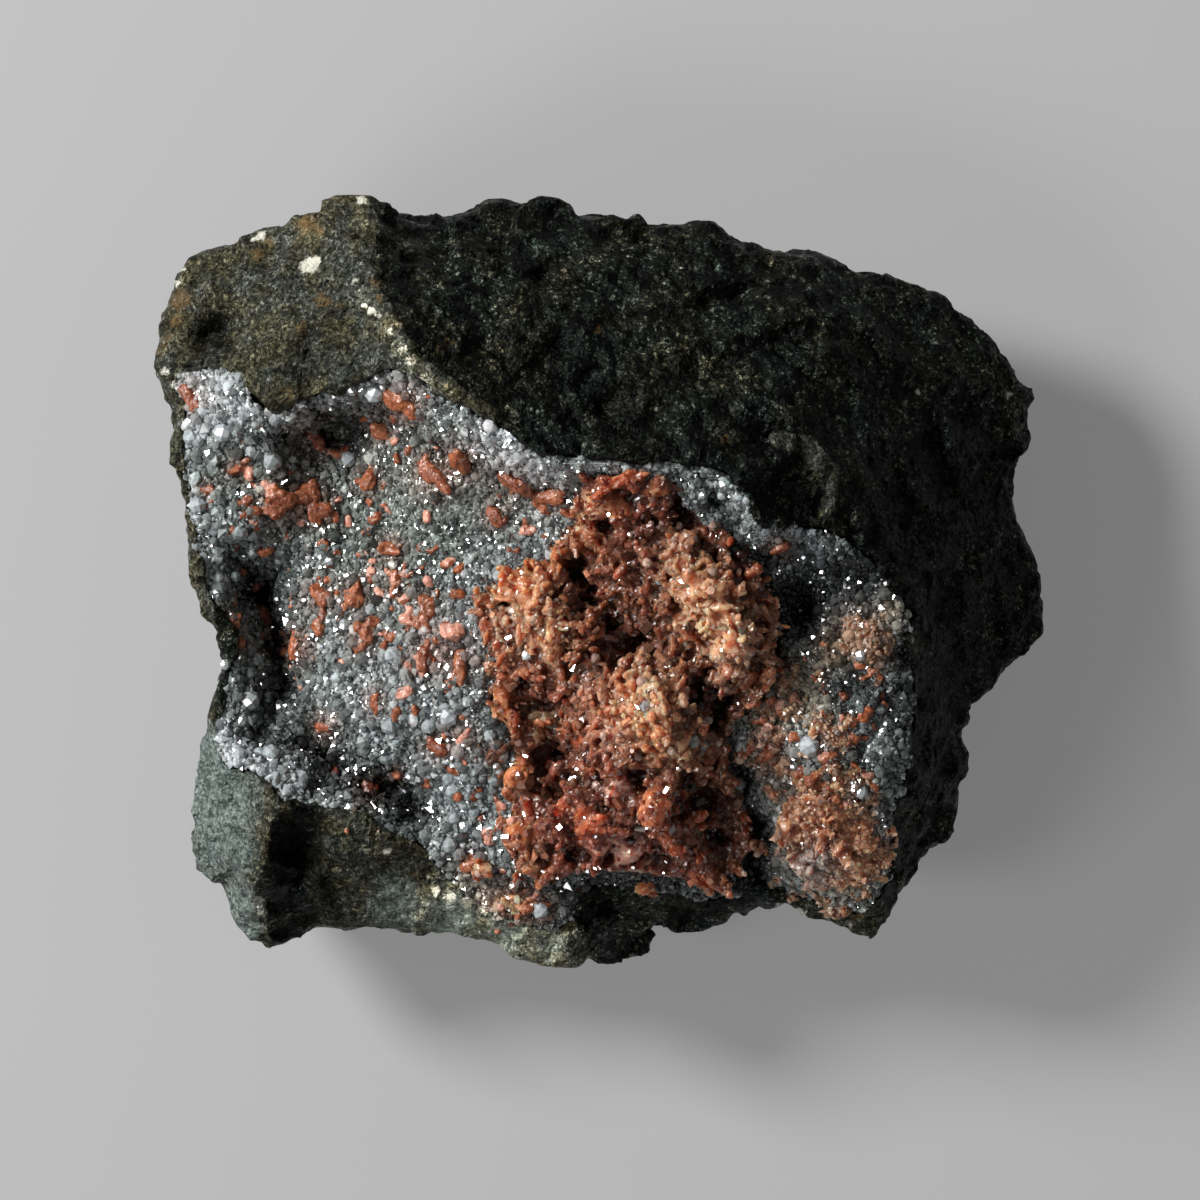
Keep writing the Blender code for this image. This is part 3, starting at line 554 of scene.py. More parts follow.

# %% [markdown]
# ## Patches of the gmelinite
# Lobes are peach and orange, painted lighter where they catch the light. The lower part and the arch at
# the top are a deep red, partly painted shade, and the gaps between the lobes are painted nearly brown as
# shade.

# %% Gmelinite patches
# Brown, deep red and dark red patches are partly painted shade; pale peach on the lobes is partly painted
# light
MASS_PATCHES = (
    (625, 845, 75, DEEP_RED_AND_SHADE, 0.9), (540, 850, 40, DEEP_RED_AND_SHADE, 0.6), (630, 500, 40, DEEP_RED_AND_SHADE, 0.6),
    (620, 560, 40, DEEP_RED_AND_SHADE, 0.35), (640, 630, 46, BROWN_AND_SHADE, 0.9), (690, 508, 36, BROWN_AND_SHADE, 0.95),
    (640, 500, 20, BROWN_AND_SHADE, 0.7), (580, 590, 26, BROWN_AND_SHADE, 0.95), (700, 695, 34, BROWN_AND_SHADE, 0.95),
    (735, 715, 30, BROWN_AND_SHADE, 0.9), (720, 830, 46, BROWN_AND_SHADE, 0.97), (552, 752, 30, BROWN_AND_SHADE, 0.95),
    (545, 700, 24, BROWN_AND_SHADE, 0.6), (650, 782, 30, BROWN_AND_SHADE, 0.8), (745, 555, 26, BROWN_AND_SHADE, 0.8),
    (765, 600, 20, BROWN_AND_SHADE, 0.7), (525, 700, 30, DEEP_RED_AND_SHADE, 0.7), (525, 760, 40, DEEP_RED_AND_SHADE, 0.6),
    (520, 825, 36, DEEP_RED_AND_SHADE, 0.5), (565, 800, 40, DEEP_RED_AND_SHADE, 0.6), (590, 760, 30, DEEP_RED_AND_SHADE, 0.7),
    (570, 660, 24, DEEP_RED_AND_SHADE, 0.5), (560, 800, 24, BROWN_AND_SHADE, 0.5), (690, 870, 26, BROWN_AND_SHADE, 0.7),
    (632, 518, 62, DEEP_RED_AND_SHADE, 0.85), (625, 475, 16, RED, 0.8), (655, 482, 9, PEACH, 0.4),
    (596, 505, 12, PEACH, 0.4), (590, 540, 16, ORANGE, 0.4), (625, 545, 16, ORANGE, 0.35),
    (555, 560, 14, ORANGE, 0.5), (650, 555, 16, PINK, 0.3), (512, 585, 30, ORANGE, 0.95),
    (530, 610, 26, PEACH, 0.9), (550, 640, 20, PEACH, 0.7), (505, 625, 20, PINK, 0.6),
    (675, 555, 18, PEACH, 0.9), (690, 580, 20, PEACH, 0.95), (705, 605, 22, PEACH, 0.95),
    (725, 630, 22, PEACH, 0.95), (740, 655, 20, PINK, 0.9), (703, 606, 9, ORANGE, 0.8),
    (758, 640, 9, RED, 0.5), (615, 640, 12, GREY, 0.3), (645, 690, 26, PEACH, 0.9),
    (625, 715, 22, ORANGE, 0.8), (615, 735, 18, PINK, 0.8), (655, 735, 24, ORANGE, 0.9),
    (680, 752, 16, PEACH, 0.8), (680, 708, 10, CREAM, 0.5), (583, 690, 12, PINK, 0.8),
    (600, 670, 12, PINK, 0.5), (652, 808, 20, RED, 0.9), (665, 800, 10, PEACH, 0.6),
    (515, 775, 18, ORANGE, 0.8), (538, 728, 14, ORANGE, 0.6), (520, 830, 16, PINK, 0.6),
    (535, 860, 14, PEACH, 0.5), (595, 825, 12, RED, 0.8), (625, 852, 12, PINK, 0.7),
    (570, 795, 12, RED, 0.5), (690, 850, 12, RED, 0.5), (716, 897, 10, PINK, 0.6),
    (645, 885, 12, RED, 0.6), (840, 825, 30, ORANGE, 0.7), (815, 865, 22, GREY, 0.6),
    (870, 860, 24, PEACH, 0.7), (850, 800, 16, TAN, 0.6), (865, 640, 22, PEACH, 0.3),
    (795, 700, 22, TAN, 0.6), (815, 700, 14, TAN, 0.5), (765, 728, 14, PINK, 0.6),
    (800, 735, 14, TAN, 0.6), (835, 740, 14, PEACH, 0.4), (880, 690, 20, SHADOW_TONE, 0.9),
    (845, 690, 22, SHADOW_TONE, 0.7), (880, 840, 14, ORANGE, 0.6), (790, 790, 18, RUST, 0.5),
    (630, 515, 50, DARK_RED_AND_SHADE, 0.75), (640, 625, 40, BROWN_AND_SHADE, 0.55), (625, 840, 75, DARK_RED_AND_SHADE, 0.9),
    (725, 635, 28, PALE_PEACH_AND_LIGHT, 0.75), (690, 590, 16, PALE_PEACH_AND_LIGHT, 0.5), (650, 700, 28, PALE_PEACH_AND_LIGHT, 0.7),
    (866, 645, 36, UMBER, 0.6), (868, 690, 24, UMBER, 0.5), (637, 570, 34, BROWN_AND_SHADE, 0.35),
    (585, 675, 26, BROWN_AND_SHADE, 0.45), (622, 478, 14, RED, 0.7), (655, 808, 18, RED, 0.7),
    (593, 824, 12, RED, 0.5), (700, 868, 12, RED, 0.5), (600, 500, 26, DEEP_RED_AND_SHADE, 0.5),
    (600, 850, 46, DEEP_RED_AND_SHADE, 0.6), (660, 850, 36, DEEP_RED_AND_SHADE, 0.6), (560, 700, 30, DEEP_RED_AND_SHADE, 0.5),
    (603, 812, 10, BROWN_AND_SHADE, 0.8), (637, 838, 10, BROWN_AND_SHADE, 0.8), (672, 822, 9, BROWN_AND_SHADE, 0.8),
    (575, 858, 9, BROWN_AND_SHADE, 0.7), (612, 848, 8, BROWN_AND_SHADE, 0.7),
)
print(len(MASS_PATCHES), "patches on the gmelinite")

# %% [markdown]
# ## Mixing the patches
# A patch is strongest in its middle and fades out like a bell, so no edge shows. Each crystal also gets a
# tone of its own, a little lighter or darker than its neighbours, because one even colour looks painted.


# %% Mixing
def fall_off(points, patches):
    """The patches' strength in the middle of soft round patches, 0 far from them."""
    value = np.zeros(len(points))
    for across, down, radius, strength in patches:
        value = np.maximum(value, np.exp(-(reach_of(points, across, down, radius) ** 2)) * strength)
    return value


def colours_at(places, ground, patches, tone_spread):
    """A colour for each place: the ground colour, mixed with the patches, and a little lighter or darker."""
    colours = np.tile(np.array(ground), (len(places), 1))
    for across, down, radius, colour, strength in patches:
        share = (np.exp(-(reach_of(places, across, down, radius) ** 2)) * strength)[:, None]
        colours = colours * (1 - share) + np.array(colour) * share
    tone = np.exp(chance.normal(0, tone_spread, (len(places), 1)))
    return np.clip(colours * tone, 0.004, 0.95)


share_left = fall_off(np.array([spot(650, 600)]), [(600, 600, 100, 1.0)])[0]
print("half a radius out a patch is left with", round(share_left, 2))

# %% [markdown]
# ## High and low ground
# Gaps are painted darker as shade, deep red on the gmelinite, while crystals that stand high keep their
# full colour. A map of the heights, blurred over about 2 mm, tells how far a place stands above what is
# round it.

# %% Heights
MAP_STEP = 0.5 * MM
BLUR_ROUNDS = 30


def surface_tree(*pieces):
    """All pieces as one surface that a ray can find."""
    corners, faces, start = [], [], 0
    for piece in pieces:
        corners += [vert.co.copy() for vert in piece.data.vertices]
        faces += [[start + corner for corner in face.vertices] for face in piece.data.polygons]
        start = len(corners)
    return BVHTree.FromPolygons(corners, faces)


def smooth_heights(tree):
    """Heights of a surface on a map with steps of MAP_STEP, blurred."""
    columns = np.arange(cad_low.x, cad_high.x, MAP_STEP)
    rows = np.arange(cad_low.y, cad_high.y, MAP_STEP)
    level = np.zeros((len(rows), len(columns)))
    for row, y in enumerate(rows):
        for column, x in enumerate(columns):
            hit, _, _, _ = tree.ray_cast(Vector((x, y, 1)), DOWN)
            level[row, column] = hit.z if hit else 0.0
    for _ in range(BLUR_ROUNDS):
        neighbours = [np.roll(level, step, axis) for axis in (0, 1) for step in (1, -1)]
        level = sum(neighbours, level) / 5
    print("map of heights:", level.shape, "up to", round(level.max() / MM, 1), "mm")
    return level


def standing(level, points):
    """How far the points stand above the blurred ground, in millimetres."""
    columns = np.clip(((points[:, 0] - cad_low.x) / MAP_STEP).astype(int), 0, level.shape[1] - 1)
    rows = np.clip(((points[:, 1] - cad_low.y) / MAP_STEP).astype(int), 0, level.shape[0] - 1)
    return (points[:, 2] - level[rows, columns]) / MM


# %% [markdown]
# ## The mass of gmelinite
# The middle is a mass of grown-together crystals: lobes, arms and gaps that go deep and dark. The solid
# gives the lobes, and the gaps are sunk into it. Its sides stand out a little, to grow into the lining.

# %% Lobes and gaps
# Gaps between the lobes: place and radius in dots, depth in millimetres (minus for a lobe)
MASS_GAPS = (
    (574, 575, 18, 2.5), (590, 600, 16, 2.6), (588, 556, 10, 1.8), (612, 620, 14, 2.4),
    (640, 640, 20, 3.2), (620, 655, 18, 2.2), (662, 664, 13, 2.2), (696, 694, 15, 3.2),
    (714, 722, 16, 3.0), (730, 700, 14, 2.2), (686, 506, 20, 3.6), (708, 522, 14, 2.6),
    (612, 494, 8, 2.4), (636, 500, 10, 2.8), (738, 545, 14, 2.2), (556, 705, 12, 2.2),
    (552, 752, 18, 2.8), (548, 790, 12, 2.6), (640, 778, 16, 2.4), (700, 800, 24, 4.0),
    (690, 775, 14, 2.8), (600, 790, 10, 2.0), (575, 830, 12, 2.0), (640, 862, 12, 2.0),
    (612, 866, 9, 1.6), (528, 805, 9, 1.6), (722, 845, 22, 4.0), (700, 876, 10, 2.0), (590, 745, 10, 1.6),
    (520, 690, 12, 1.8), (745, 880, 16, 3.0), (742, 800, 16, 3.0), (556, 860, 10, 1.6),
    (566, 640, 9, 1.4), (603, 812, 11, 1.9), (637, 838, 10, 1.9), (672, 822, 9, 1.6), (575, 858, 9, 1.6),
    (690, 842, 12, 2.0), (612, 848, 8, 1.5), (655, 858, 10, 1.7), (548, 828, 8, 1.4), (600, 530, 9, 1.6),
    (648, 528, 12, 1.8), (738, 640, 26, -1.3), (700, 590, 22, -1.1), (655, 702, 34, -1.1),
    (520, 590, 18, -0.6), (655, 812, 16, -0.8),
)

MASS_FACE = 0.45 * MM
ROOM_FOR_CRYSTALS = 1.0 * MM
GROW_OUT = 0.45 * MM
MASS_SIDE = 0.2


def mass_height(point, away):
    """Chips on top, sunk to leave room. Faces that look less upward than MASS_SIDE grow outward."""
    if away.z < MASS_SIDE:
        return GROW_OUT
    waves = noise.fractal(point / (2.2 * MM), 0.8, 2.0, 3) * 0.5 * MM
    return chip(point, 2.4 * MM, 0.6) + waves - ROOM_FOR_CRYSTALS


def sunk_copy(node, name):
    """A copy of a mass, lower than the solid so that the crystals on it reach the solid's surface."""
    mass = even_copy(node, name, MASS_FACE)
    relax(mass.data)
    reshape(mass.data, mass_height, MASS_GAPS)
    return mass


mass_centre = sunk_copy("gmelinite_cluster_centre", "gmelinite_mass_centre")
mass_right = sunk_copy("gmelinite_cluster_right", "gmelinite_mass_right")
ground = surface_tree(crust, mass_centre, mass_right, rock)

# %% [markdown]
# ## Crystals that can be told apart
# The largest crystals of the mass, and the single ones on the lining, are placed one by one. The rest are
# placed at random, because the eye takes them in as a texture.

# %% Placed crystals
# Crystals of the mass: place, length and width in dots, heading and lean in degrees, colour
BLADES = (
    (623, 479, 54, 14, 17, 0, RED), (655, 490, 24, 11, 50, 10, ORANGE), (594, 505, 26, 11, 95, 10, PEACH),
    (613, 509, 30, 9, 92, -8, ORANGE), (590, 518, 32, 10, 37, 8, PEACH),
    (587, 541, 36, 11, -30, 0, ORANGE), (557, 562, 40, 11, -82, 10, ORANGE),
    (520, 583, 26, 16, 10, 0, ORANGE), (535, 596, 28, 13, 40, 12, ORANGE), (542, 716, 30, 15, -5, 0, TAN),
    (502, 701, 32, 14, 85, 5, ORANGE), (537, 735, 20, 15, 80, 10, PEACH),
    (516, 776, 30, 20, 40, 10, ORANGE), (549, 796, 27, 10, 25, 5, RED), (593, 824, 46, 13, 22, 8, RED),
    (655, 808, 40, 30, 70, 0, ORANGE), (616, 789, 22, 10, 85, 25, PINK), (625, 852, 26, 20, 60, 20, PINK),
    (602, 848, 20, 11, 80, 20, PINK), (518, 833, 28, 20, -40, 0, ORANGE), (700, 868, 40, 14, -58, 0, RED),
    (646, 887, 24, 15, 10, 0, ORANGE), (671, 843, 28, 15, -50, 10, RED), (575, 790, 24, 9, 75, 25, BROWN_AND_SHADE),
    (560, 815, 22, 9, 60, 10, RED), (585, 770, 22, 9, -70, 15, BROWN_AND_SHADE), (570, 735, 20, 10, 45, 20, RED),
    (480, 865, 22, 17, 30, 0, PEACH), (510, 905, 30, 11, -35, 0, PEACH), (540, 880, 24, 10, 70, 15, RED),
    (745, 750, 30, 12, 45, 0, RED), (730, 640, 26, 16, 80, 10, PEACH), (690, 590, 24, 13, -40, 15, PEACH),
)
# Single crystals on the lining, in the same form
SINGLES = (
    (465, 461, 36, 18, 78, 20, RUST), (434, 473, 38, 15, -32, 5, RED_BROWN),
    (514, 481, 34, 18, -25, 8, RED_BROWN), (552, 498, 30, 15, -4, 0, RUST),
    (370, 480, 24, 15, 60, 0, RUST), (314, 437, 36, 14, -60, 10, RED_BROWN),
    (280, 503, 36, 20, 20, 0, RED_BROWN), (306, 498, 30, 17, 10, 5, RED_BROWN),
    (320, 510, 26, 14, -15, 6, RED_BROWN), (398, 398, 32, 20, -20, 4, RUST),
    (412, 408, 26, 14, -50, 0, RUST), (382, 431, 24, 13, -35, -10, RUST),
    (192, 399, 32, 15, -62, 0, RED_BROWN), (237, 468, 20, 13, 30, 10, RED_BROWN),
    (208, 488, 14, 10, 20, 0, RED_BROWN), (496, 517, 22, 14, -55, 6, RED_BROWN),
    (391, 549, 24, 12, 10, -12, RUST), (358, 595, 28, 12, 86, 4, RUST), (320, 596, 26, 12, -60, 0, RUST),
    (428, 601, 20, 12, -20, 0, RUST), (396, 588, 20, 10, 70, 0, RUST),
    (424, 660, 30, 15, 84, 8, RED_BROWN), (461, 662, 34, 14, 88, -4, RUST),
    (365, 638, 28, 11, 80, 6, RUST), (297, 646, 30, 12, 88, 0, RUST), (376, 700, 22, 10, 80, 0, RUST),
    (438, 746, 26, 17, -30, 8, RED_BROWN), (464, 736, 26, 9, 45, 6, PINK),
    (325, 726, 24, 11, 10, 0, RED_BROWN), (367, 790, 26, 14, 86, 5, RED_BROWN),
    (495, 753, 20, 14, 40, 0, BROWN_AND_SHADE), (471, 864, 24, 15, 22, 6, RUST), (233, 620, 14, 12, 30, 0, RUST),
    (240, 643, 12, 9, 70, 0, RUST), (398, 772, 14, 9, 20, 0, RED_BROWN),
    (520, 902, 30, 12, -36, 0, PEACH), (769, 751, 30, 14, 42, 0, RED_BROWN),
    (780, 547, 20, 12, 40, 8, RED_BROWN), (540, 906, 22, 10, 10, 0, RUST),
)

print(len(BLADES), "crystals placed on the mass,", len(SINGLES), "on the lining")

# %% [markdown]
# ## Bundles and sheaves
# A gmelinite crystal here is seldom a clean barrel. It is a sheaf: one barrel with smaller ones grown
# along it. A bundle collects the barrels of many sheaves and joins them at the end. It also remembers
# their colours, because the skin that they melt into later takes its colours from them.

# %% Bundles
AROUND = 8 * DOT


def ground_at(across, down):
    """The mean height of the ground round a place, and the mean direction there."""
    centre, heights, direction = spot(across, down), [], Vector((0, 0, 0))
    for step in range(9):
        turn, away = step * pi / 4, 0 if step == 8 else AROUND
        start = centre + Vector((cos(turn) * away, sin(turn) * away, 1))
        place, normal, _, _ = ground.ray_cast(start, DOWN)
        if place:
            heights.append(place.z)
            direction += normal
    return Vector((centre.x, centre.y, sum(heights) / len(heights))), direction.normalized()


print("ground in the middle of the mass:", round(ground_at(620, 690)[0].z / MM, 1), "mm up")

DEEP_GAP = 1.3 * MM
LENGTH_SPREAD, WIDTH_SPREAD = 0.30, 0.25
# A helper in a sheaf swings away from its leader by some degrees and is smaller
SWING, SMALLER = 11, (0.45, 0.75)


class Bundle:
    """Barrel-shaped crystals that are collected first and joined later."""

    def __init__(self):
        self.places, self.rotations, self.sizes, self.colours = [], [], [], []

    def add(self, place, rotation, size, colour):
        self.places.append(np.array(place))
        self.rotations.append(np.array(rotation))
        self.sizes.append(size)
        self.colours.append(np.array(colour))

    def add_sheaf(self, row, lift, helpers):
        """One placed crystal, with smaller ones grown along it."""
        across, down, length, width, heading, lean, colour = row
        place, direction = ground_at(across, down)
        tilted = UP.rotation_difference(direction).to_matrix()
        for number in range(helpers + 1):
            swing = chance.normal(0, SWING, 2) if number else (0, 0)
            shrink = chance.uniform(*SMALLER) if number else 1.0
            along = Euler((0, radians(swing[0] - lean), radians(heading + swing[1]))).to_matrix()
            turn = tilted @ along
            shift = Vector(chance.normal(0, 1, 3).tolist()) * (1 if number else 0)
            shift = Vector((shift.x * length * 0.20, shift.y * width * 0.26, shift.z * width * 0.18))
            size = (length * DOT * shrink, width * DOT * shrink, width * DOT * shrink * 0.85)
            tone = np.exp(chance.normal(0, 0.12))
            seat = place + direction * width * DOT * lift + turn @ shift * DOT
            self.add(seat, turn, size, np.array(colour) * tone)

    def add_many(
            self, mesh, wanted, length, width, closeness, ground_colour, tone_spread, lying_share, avoid=(),
            thin=()):
        """Crystals seated at random, pointing any way out of the ground. avoid and thin leave some out."""
        places, directions = draw_seats(mesh, wanted, 0.05)
        lengths = length * np.exp(chance.normal(0, LENGTH_SPREAD, wanted))
        kept = spread(places, lengths, closeness)
        depth = sum((dent(places[kept], *gap) for gap in avoid), np.zeros(len(kept)))
        kept = kept[depth < DEEP_GAP]
        kept = kept[chance.random(len(kept)) > fall_off(places[kept], thin)]
        colours = colours_at(places[kept], ground_colour, MASS_PATCHES, tone_spread)
        rotations = turns(directions[kept], 0.5)[:, :, (2, 0, 1)]
        lying = chance.random(len(kept)) < lying_share
        rotations[lying] = any_turns(int(lying.sum()))
        widths = width * np.exp(chance.normal(0, WIDTH_SPREAD, (len(kept), 2)))
        for number, seat in enumerate(kept):
            size = (lengths[seat], widths[number, 0], widths[number, 1] * 0.8)
            place = places[seat] + directions[seat] * 0.10 * lengths[seat]
            self.add(place, rotations[number], size, colours[number])

    def join(self, name):
        places, rotations, colours = map(np.array, (self.places, self.rotations, self.colours))
        return join_copies(name, "barrel", places, rotations, self.sizes, colours)

    def nearest_colours(self, points):
        """The colour of the nearest crystal, for each point."""
        centres, owners = [], []
        for number, (place, turn, size) in enumerate(zip(self.places, self.rotations, self.sizes)):
            for share in (-0.35, 0, 0.35):
                centres.append(place + turn[:, 0] * size[0] * share)
                owners.append(number)
        tree = kdtree.KDTree(len(centres))
        for number, centre in enumerate(centres):
            tree.insert(centre, number)
        tree.balance()
        return np.array([self.colours[owners[tree.find(point)[1]]] for point in points.tolist()])


# %% [markdown]
# ## Melting the crystals together
# Barrels that stand out of the mass every way are melted into one rough skin by a second remesh, as the
# real ones have grown into each other. Modelling each one by hand would look cleaner, but the real mass
# is coarse and broken like lump sugar. Long crystals go in first, thinner where the photograph shows
# single arms with dark gaps between them. A second, finer skin of small crystals then fills the lobes,
# and keeps off the places where the long ones stand apart.

# %% Crystals of the central mass
def melt(name, pieces, face_size, height_of):
    """Melts pieces into one skin and roughens it."""
    bm = bmesh.new()
    for piece in pieces:
        bm.from_mesh(piece.data)
    melted = one_skin(name, bm, face_size)
    for piece in pieces:
        bpy.data.objects.remove(piece)
    relax(melted.data)
    reshape(melted.data, height_of)
    return melted


def sugar_grain(point, _):
    return chip(point, 1.0 * MM, 0.38) + chip(point, 0.5 * MM, 0.26) - 0.06 * MM


# Where the long crystals stand apart: place and radius in dots, the share that is missing
THIN_FIELDS = (
    (620, 845, 85, 0.62), (528, 800, 50, 0.55), (635, 500, 50, 0.45), (522, 700, 30, 0.5),
    (640, 630, 50, 0.4),
)
MASS_GROUND = (0.30, 0.098, 0.045)
RIGHT_GROUND = (0.36, 0.165, 0.090)
ARM_FACE, SMALL_ARM_FACE = 0.26 * MM, 0.185 * MM
arms = Bundle()
for row in BLADES:
    arms.add_sheaf(row, lift=0.25, helpers=3)
arms.add_many(
    mass_centre.data, wanted=2300, length=2.7 * MM, width=1.35 * MM, closeness=0.46,
    ground_colour=MASS_GROUND, tone_spread=0.14, lying_share=0.6, avoid=MASS_GAPS, thin=THIN_FIELDS)
mass_centre = melt("gmelinite_centre", [mass_centre, arms.join("arms")], ARM_FACE, sugar_grain)

# Where the small crystals leave room for the long ones, as if it were a gap: place and radius in dots, depth
OPEN_FIELDS = (
    (620, 845, 92, 3.0), (528, 800, 52, 3.0), (635, 500, 58, 3.0), (522, 700, 30, 3.0),
    (720, 845, 40, 3.0),
)
small_arms = Bundle()
small_arms.add_many(
    mass_centre.data, wanted=3400, length=1.45 * MM, width=0.95 * MM, closeness=0.72,
    ground_colour=MASS_GROUND, tone_spread=0.18, lying_share=0.7, avoid=MASS_GAPS + OPEN_FIELDS)
mass_tips = melt("gmelinite_crystals_centre", [small_arms.join("small_arms")], SMALL_ARM_FACE, sugar_grain)

# %% [markdown]
# ## Gmelinite on the right
# On the right the gmelinite is thinner, paler and finer, and it thins out over the lining without an
# edge. So besides the crystals on the solid there are fields of small sheaves, with a count for each
# field.

# %% Crystals on the right
# Fields of small crystals: place and radius in dots, how many
RIGHT_FIELDS = (
    (866, 642, 28, 34), (795, 700, 36, 34), (780, 760, 34, 26), (838, 806, 40, 90), (862, 850, 34, 60),
    (800, 860, 40, 34), (830, 735, 26, 14), (765, 730, 20, 12), (845, 890, 26, 20),
)
RIGHT_FACE = 0.18 * MM


def seats_in(fields):
    """Places in dots drawn at random in round fields, closest together in the middle of each."""
    for across, down, radius, count in fields:
        for _ in range(count):
            turn, away = chance.uniform(0, 2 * pi), radius * chance.random() ** 0.6
            yield across + cos(turn) * away, down + sin(turn) * away


right_arms = Bundle()
right_arms.add_many(
    mass_right.data, wanted=420, length=2.0 * MM, width=1.2 * MM, closeness=0.42, ground_colour=RIGHT_GROUND,
    tone_spread=0.2, lying_share=0.7)
for seat in seats_in(RIGHT_FIELDS):
    length = 13 * np.exp(chance.normal(0, 0.3))
    colour = colours_at(np.array([spot(*seat)]), RIGHT_GROUND, MASS_PATCHES, 0.2)[0]
    row = (*seat, length, length * 0.7, chance.uniform(0, 180), chance.normal(0, 25), colour)
    right_arms.add_sheaf(row, lift=-0.05, helpers=2)
mass_right = melt("gmelinite_right", [mass_right, right_arms.join("right_arms")], RIGHT_FACE, sugar_grain)

# %% [markdown]
# ## Single gmelinite crystals
# Rice-grain crystals of gmelinite lie all over the lining. Each is a sheaf, melted together. Besides the
# placed ones there are many small ones, densest near the mass.

# %% Single crystals
# Fields of small single crystals: place and radius in dots, how many
RICE_FIELDS = (
    (330, 560, 110, 90), (430, 620, 80, 60), (400, 430, 60, 14), (260, 480, 60, 14), (500, 800, 50, 34),
    (400, 760, 90, 24), (520, 520, 40, 16), (520, 900, 40, 14), (830, 700, 60, 40), (830, 800, 50, 40),
    (300, 640, 50, 30), (760, 700, 30, 14),
)
SINGLE_FACE = 0.15 * MM
singles_bundle = Bundle()
for row in SINGLES:
    singles_bundle.add_sheaf(row, lift=0.16, helpers=4)
for seat in seats_in(RICE_FIELDS):
    length = 10 * np.exp(chance.normal(0, 0.35))
    colour = (RUST, RED_BROWN, RUST, PINK)[chance.integers(4)]
    row = (*seat, length, length * 0.72, chance.uniform(0, 180), chance.normal(0, 18), colour)
    if ground.ray_cast(spot(*seat) + UP, DOWN)[0]:
        singles_bundle.add_sheaf(row, lift=0.12, helpers=1)


def rice_grain(point, _):
    return sugar(point, 0.34 * MM, 0.10 * MM) + noise.noise(point / (0.7 * MM)) * 0.08 * MM


singles = melt("gmelinite_crystals", [singles_bundle.join("sheaves")], SINGLE_FACE, rice_grain)

# %% [markdown]
# ## Colours of what has grown
# Each point takes the colour of its nearest crystal, painted darker and redder in the gaps as shade. The
# crust round a single crystal is stained with its colour, and the crust too is painted darker in its gaps
# as shade.

# %% Tints
level = smooth_heights(surface_tree(crust, mass_centre, mass_right, rock))


def gap_shade(points, depth, darkest):
    """1 on high ground, down to darkest in gaps that are depth millimetres deep."""
    high = np.clip(standing(level, points) / depth + 0.75, 0, 1)[:, None]
    return darkest + (1 - np.array(darkest)) * high


# Darkest painted shade in the gaps: reddish on the gmelinite, grey on the crust
RED_GAP_SHADE, GREY_GAP_SHADE = (0.44, 0.27, 0.23), (0.25, 0.25, 0.25)
CRUST_GREY = (0.24, 0.27, 0.26)
melted = ((mass_centre, arms), (mass_tips, small_arms), (mass_right, right_arms), (singles, singles_bundle))
for piece, bundle in melted:
    points, _ = read_points(piece.data)
    store_tint(piece.data, bundle.nearest_colours(points) * gap_shade(points, 1.5, RED_GAP_SHADE))
crust_points, _ = read_points(crust.data)
near_singles = tuple((row[0], row[1], row[2] * 0.7, RUST, 0.45) for row in SINGLES)
crust_patches = LINING_PATCHES + near_singles
crust_colours = colours_at(crust_points, CRUST_GREY, crust_patches, 0)
store_tint(crust.data, crust_colours * gap_shade(crust_points, 1.2, GREY_GAP_SHADE))

# %% [markdown]
# ## The lining's crystals
# Most analcime crystals are 1 to 1.5 mm wide and sunk to their middles. Between them sit grains of a
# third of that, which give the lining its sugary glitter. The crystals get smaller to the right of the
# upper rim.

# %% Analcime
# Where the crystals are smaller or larger: place and radius in dots, times the usual size
SIZE_FIELDS = (
    (430, 530, 70, 0.62), (520, 530, 50, 0.6), (400, 470, 50, 0.7), (600, 470, 60, 0.55),
    (800, 560, 70, 0.7), (850, 700, 60, 0.7), (510, 450, 40, 1.25), (745, 500, 40, 0.8),
    (190, 380, 30, 0.9), (360, 385, 30, 0.8), (220, 450, 50, 1.3), (260, 720, 50, 1.3),
    (430, 730, 50, 1.25), (470, 860, 40, 1.3), (290, 480, 50, 1.2),
)


def size_factor(places):
    factor = np.ones(len(places))
    for across, down, radius, value in SIZE_FIELDS:
        factor *= 1 + (value - 1) * np.exp(-(reach_of(places, across, down, radius) ** 2))
    return factor


LARGEST = 1.5 * MM
LARGEST_GLINT = 1.05 * MM
SIZE_SPREAD = 0.36
# Darkest painted shade for crystals that sit in gaps
DIM_GAP_SHADE = (0.3, 0.3, 0.3)


def scatter(
        name, mesh, shape, wanted, mean, closeness, lift, ground_colour, patches, tone, flatness=0.1,
        glint=0.05):
    """Crystals seated at random on a piece, turned any way, a share of them so that they glint."""
    places, directions = draw_seats(mesh, wanted)
    sizes = mean * size_factor(places) * np.exp(chance.normal(0, SIZE_SPREAD, wanted))
    sizes = np.minimum(sizes, LARGEST)
    kept = spread(places, sizes, closeness)
    places, directions, sizes = places[kept], directions[kept], sizes[kept]
    # Crystals in gaps are painted darker as shade
    colours = colours_at(places, ground_colour, patches, tone) * gap_shade(places, 1.4, DIM_GAP_SHADE)
    shapes = sizes[:, None] * np.exp(chance.normal(0, flatness, (len(kept), 3)))
    rotations = any_turns(len(kept))
    flash = (chance.random(len(kept)) < glint) & (sizes < LARGEST_GLINT)
    rotations[flash] = glinting_turns(shape, int(flash.sum()))
    shapes[flash] = sizes[flash, None]
    seats = places + directions * (sizes * lift)[:, None]
    return join_copies(name, shape, seats, rotations, shapes, colours)


